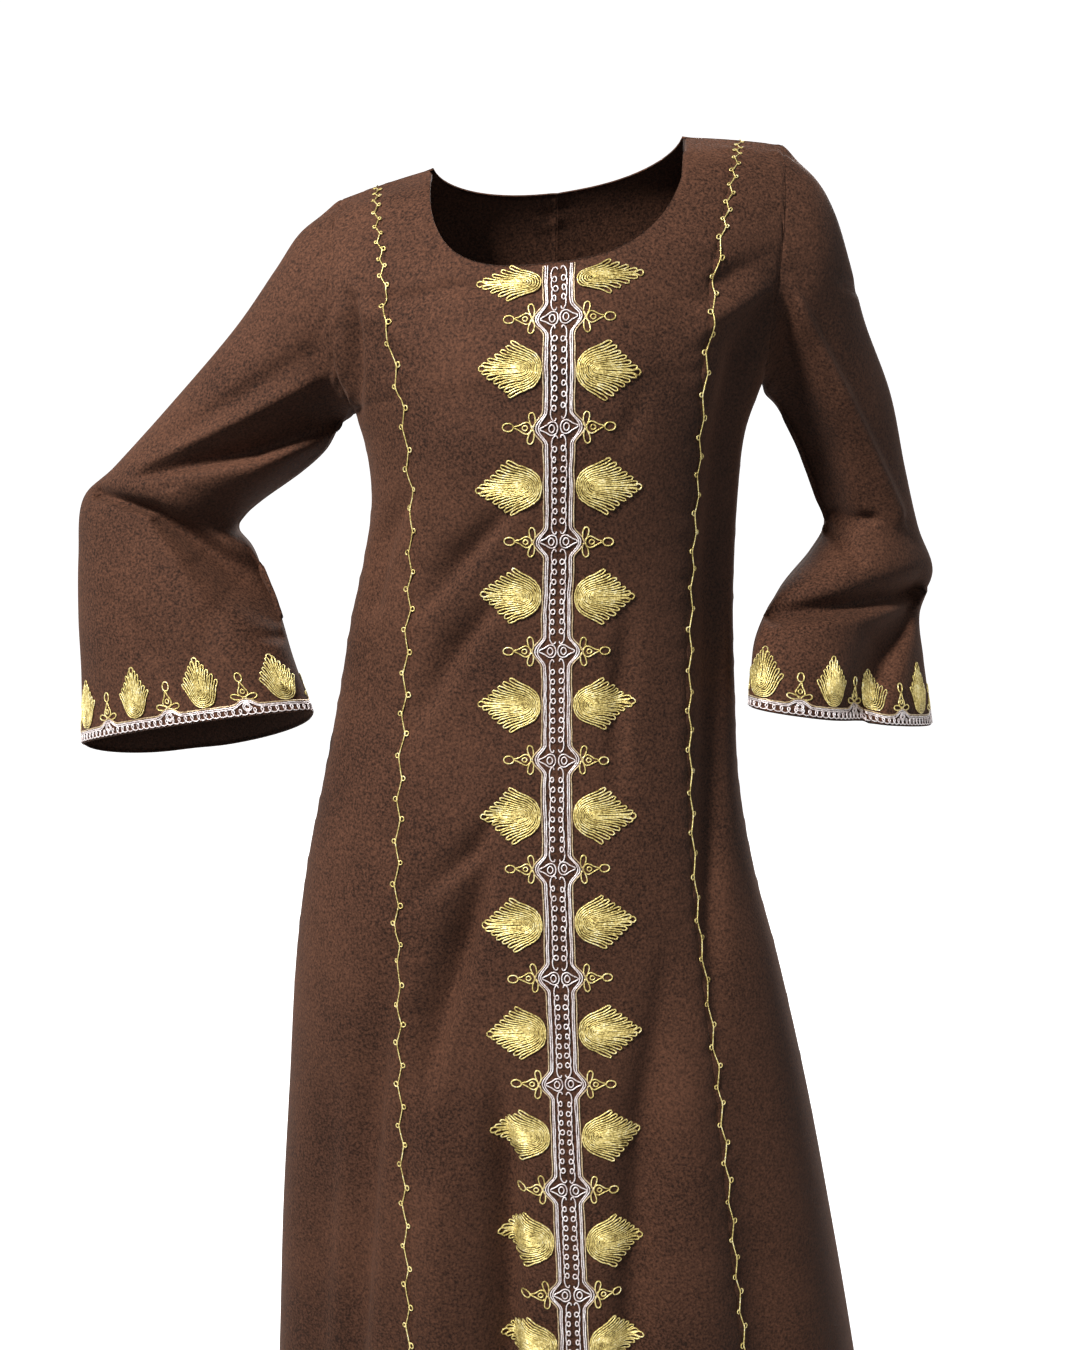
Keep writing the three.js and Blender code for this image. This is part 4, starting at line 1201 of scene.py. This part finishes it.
def on_cuff(side, flat, lift):
    """Lays flat points (distance round the edge, height above it) on a sleeve."""
    turns, run = cuff_edge(side)
    turn = np.interp(flat[:, 0] % run[-1], run, turns)
    reach = sleeve_point(side, turn, 1) - sleeve_point(side, turn, 1 - CUFF_REACH)
    row = 1 - CUFF_REACH * flat[:, 1] / np.linalg.norm(reach, axis=1)
    return sleeve_point(side, turn, row) + sleeve_normal(side, turn, row) * np.reshape(lift, (-1, 1))


for side, word in ((1, "left"), (-1, "right")):
    length = cuff_edge(side)[1][-1]
    pitch = length / CUFF_REPEATS
    gold, silver, rose = [], [], []
    leaves = [pitch * (i + CUFF_START[word]) for i in range(CUFF_REPEATS)]
    humps = [at + pitch / 2 for at in leaves]
    for leaf_at, hump_at in zip(leaves, humps):
        size = random.uniform(0.96, 1.05)
        tilt = 90 + random.uniform(-5, 5)
        for route in leaf(CUFF_LEAF * size, CUFF_LEAF_HALF * size, CUFF_LEAF_TEETH):
            height = padding(route, CUFF_LEAF, CUFF_LEAF_HALF)
            flat = turned(route + random.normal(0, 0.10, route.shape), tilt)
            gold.append((on_cuff(side, flat + [leaf_at, CUFF_LEAF_FOOT], height), True))
        for route in trefoil(1.0):
            flat = turned(route, 90 + random.uniform(-4, 4)) + [hump_at, TREFOIL_FOOT]
            gold.append((on_cuff(side, flat, TREFOIL_LIFT), True))
        turn = np.linspace(0, COIL_TURNS * 2 * math.pi, COIL_STEPS)
        wide = np.linspace(COIL_FROM, COIL_TO, COIL_STEPS)[:, None]
        coil = np.stack([np.cos(turn), np.sin(turn)], 1) * wide
        silver.append((on_cuff(side, coil + [hump_at, ROSETTE], COIL_LIFT), False))
    count = round(length / CUFF_LOOP)
    phase = np.arange(count * CUFF_LOOP_STEPS) / CUFF_LOOP_STEPS * 2 * math.pi
    loops = [length / (count * 2 * math.pi) * phase - CUFF_LOOP_WIDE * np.sin(phase)]
    loops.append(CUFF_LOOP_HEIGHT + CUFF_LOOP_TALL * np.cos(phase))
    silver.append((on_cuff(side, np.stack(loops, 1), LOOP_LIFT), True))
    around = np.arange(0, length, float(EDGE_STEP))
    away = [np.abs((around - h + length / 2) % length - length / 2) for h in humps]
    swell = sum(np.exp(-((a / HUMP_HALF) ** 3)) for a in away)
    for height, cords in zip(CUFF_LINES, (silver, silver, rose)):
        line = np.stack([around, height + HUMP * swell + random.normal(0, 0.12, len(around))], 1)
        cords.append((on_cuff(side, line, EDGE_LIFT), True))
    node = f"cuff_braid_{word}"
    lay_cords(f"cuff_leaves_{word}", gold, CUFF_LEAF_CORD, gold_cord, node)
    lay_cords(f"cuff_loops_{word}", silver, LOOP_CORD, silver_cord, node)
    lay_cords(f"cuff_edge_{word}", rose, CORD, rose_cord, node)


# Studio ---------------------------------------------------------------------------------------------
# A pale seamless floor curves up into a wall all round the kaftan. A broad soft light hangs high on the
# wearer's right, a weaker one fills from the front, and a third stands behind the back.

FLOOR = -1.46
ROOM = 5.0
CURVE = 1.2
BEND_STEPS = 13
WALL_TOP = 5.0
FLOOR_MIDDLE = 0.01
ROUND_STEPS = 96
PAPER = (0.8, 0.8, 0.8, 1)
WHITE = (1, 1, 1, 1)
PAPER_GLOW = 0.9
ROOM_LIGHT = 0.035


def backdrop():
    around = np.linspace(0, 2 * math.pi, ROUND_STEPS, endpoint=False)
    bend = np.linspace(0, math.pi / 2, BEND_STEPS)
    profile = [(ROOM - CURVE + CURVE * math.sin(a), FLOOR + CURVE - CURVE * math.cos(a)) for a in bend]
    profile = [(FLOOR_MIDDLE, FLOOR), *profile, (ROOM, WALL_TOP)]
    points = [(r * math.cos(a), r * math.sin(a), z) for r, z in profile for a in around]
    faces = []
    for i in range(len(profile) - 1):
        for k in range(ROUND_STEPS):
            low, after = i * ROUND_STEPS, (k + 1) % ROUND_STEPS
            high = low + ROUND_STEPS
            faces.append((low + k, low + after, high + after, high + k))
    mesh = bpy.data.meshes.new("backdrop")
    mesh.from_pydata(points, [], faces)
    mesh.shade_smooth()
    paper = Finish("white_paper")
    paper.coat(
        Base_Color=PAPER, Roughness=0.9, Emission_Color=WHITE, Emission_Strength=PAPER_GLOW
    )
    mesh.materials.append(paper.material)
    made = bpy.data.objects.new("backdrop", mesh)
    made.visible_diffuse = False
    bpy.context.collection.objects.link(made)


def soft_light(name, place, aim, size, power):
    """A round light that stands at a place and faces its aim, in metres and watts."""
    light = bpy.data.lights.new(name, "AREA")
    light.shape = "DISK"
    light.size = size
    light.energy = power
    made = bpy.data.objects.new(name, light)
    made.location = place
    direction = np.array(aim) - np.array(place)
    yaw = math.atan2(direction[0], -direction[1])
    pitch = math.atan2(np.hypot(direction[0], direction[1]), -direction[2])
    made.rotation_euler = (pitch, 0, yaw + math.pi)
    bpy.context.collection.objects.link(made)


backdrop()
soft_light("key", (-1.5, -1.7, 1.65), (0, 0, -0.4), size=0.6, power=142)
soft_light("fill", (0.5, -2.8, -0.1), (0, 0, -0.6), size=1.6, power=4.5)
soft_light("back", (0.7, 2.6, 1.0), (0, 0, -0.6), size=1.5, power=90)
world = bpy.data.worlds.new("white_room")
bpy.context.scene.world = world
world.use_nodes = True
background = world.node_tree.nodes["Background"]
background.inputs["Color"].default_value = WHITE
background.inputs["Strength"].default_value = ROOM_LIGHT
bpy.context.scene.view_settings.view_transform = "Standard"
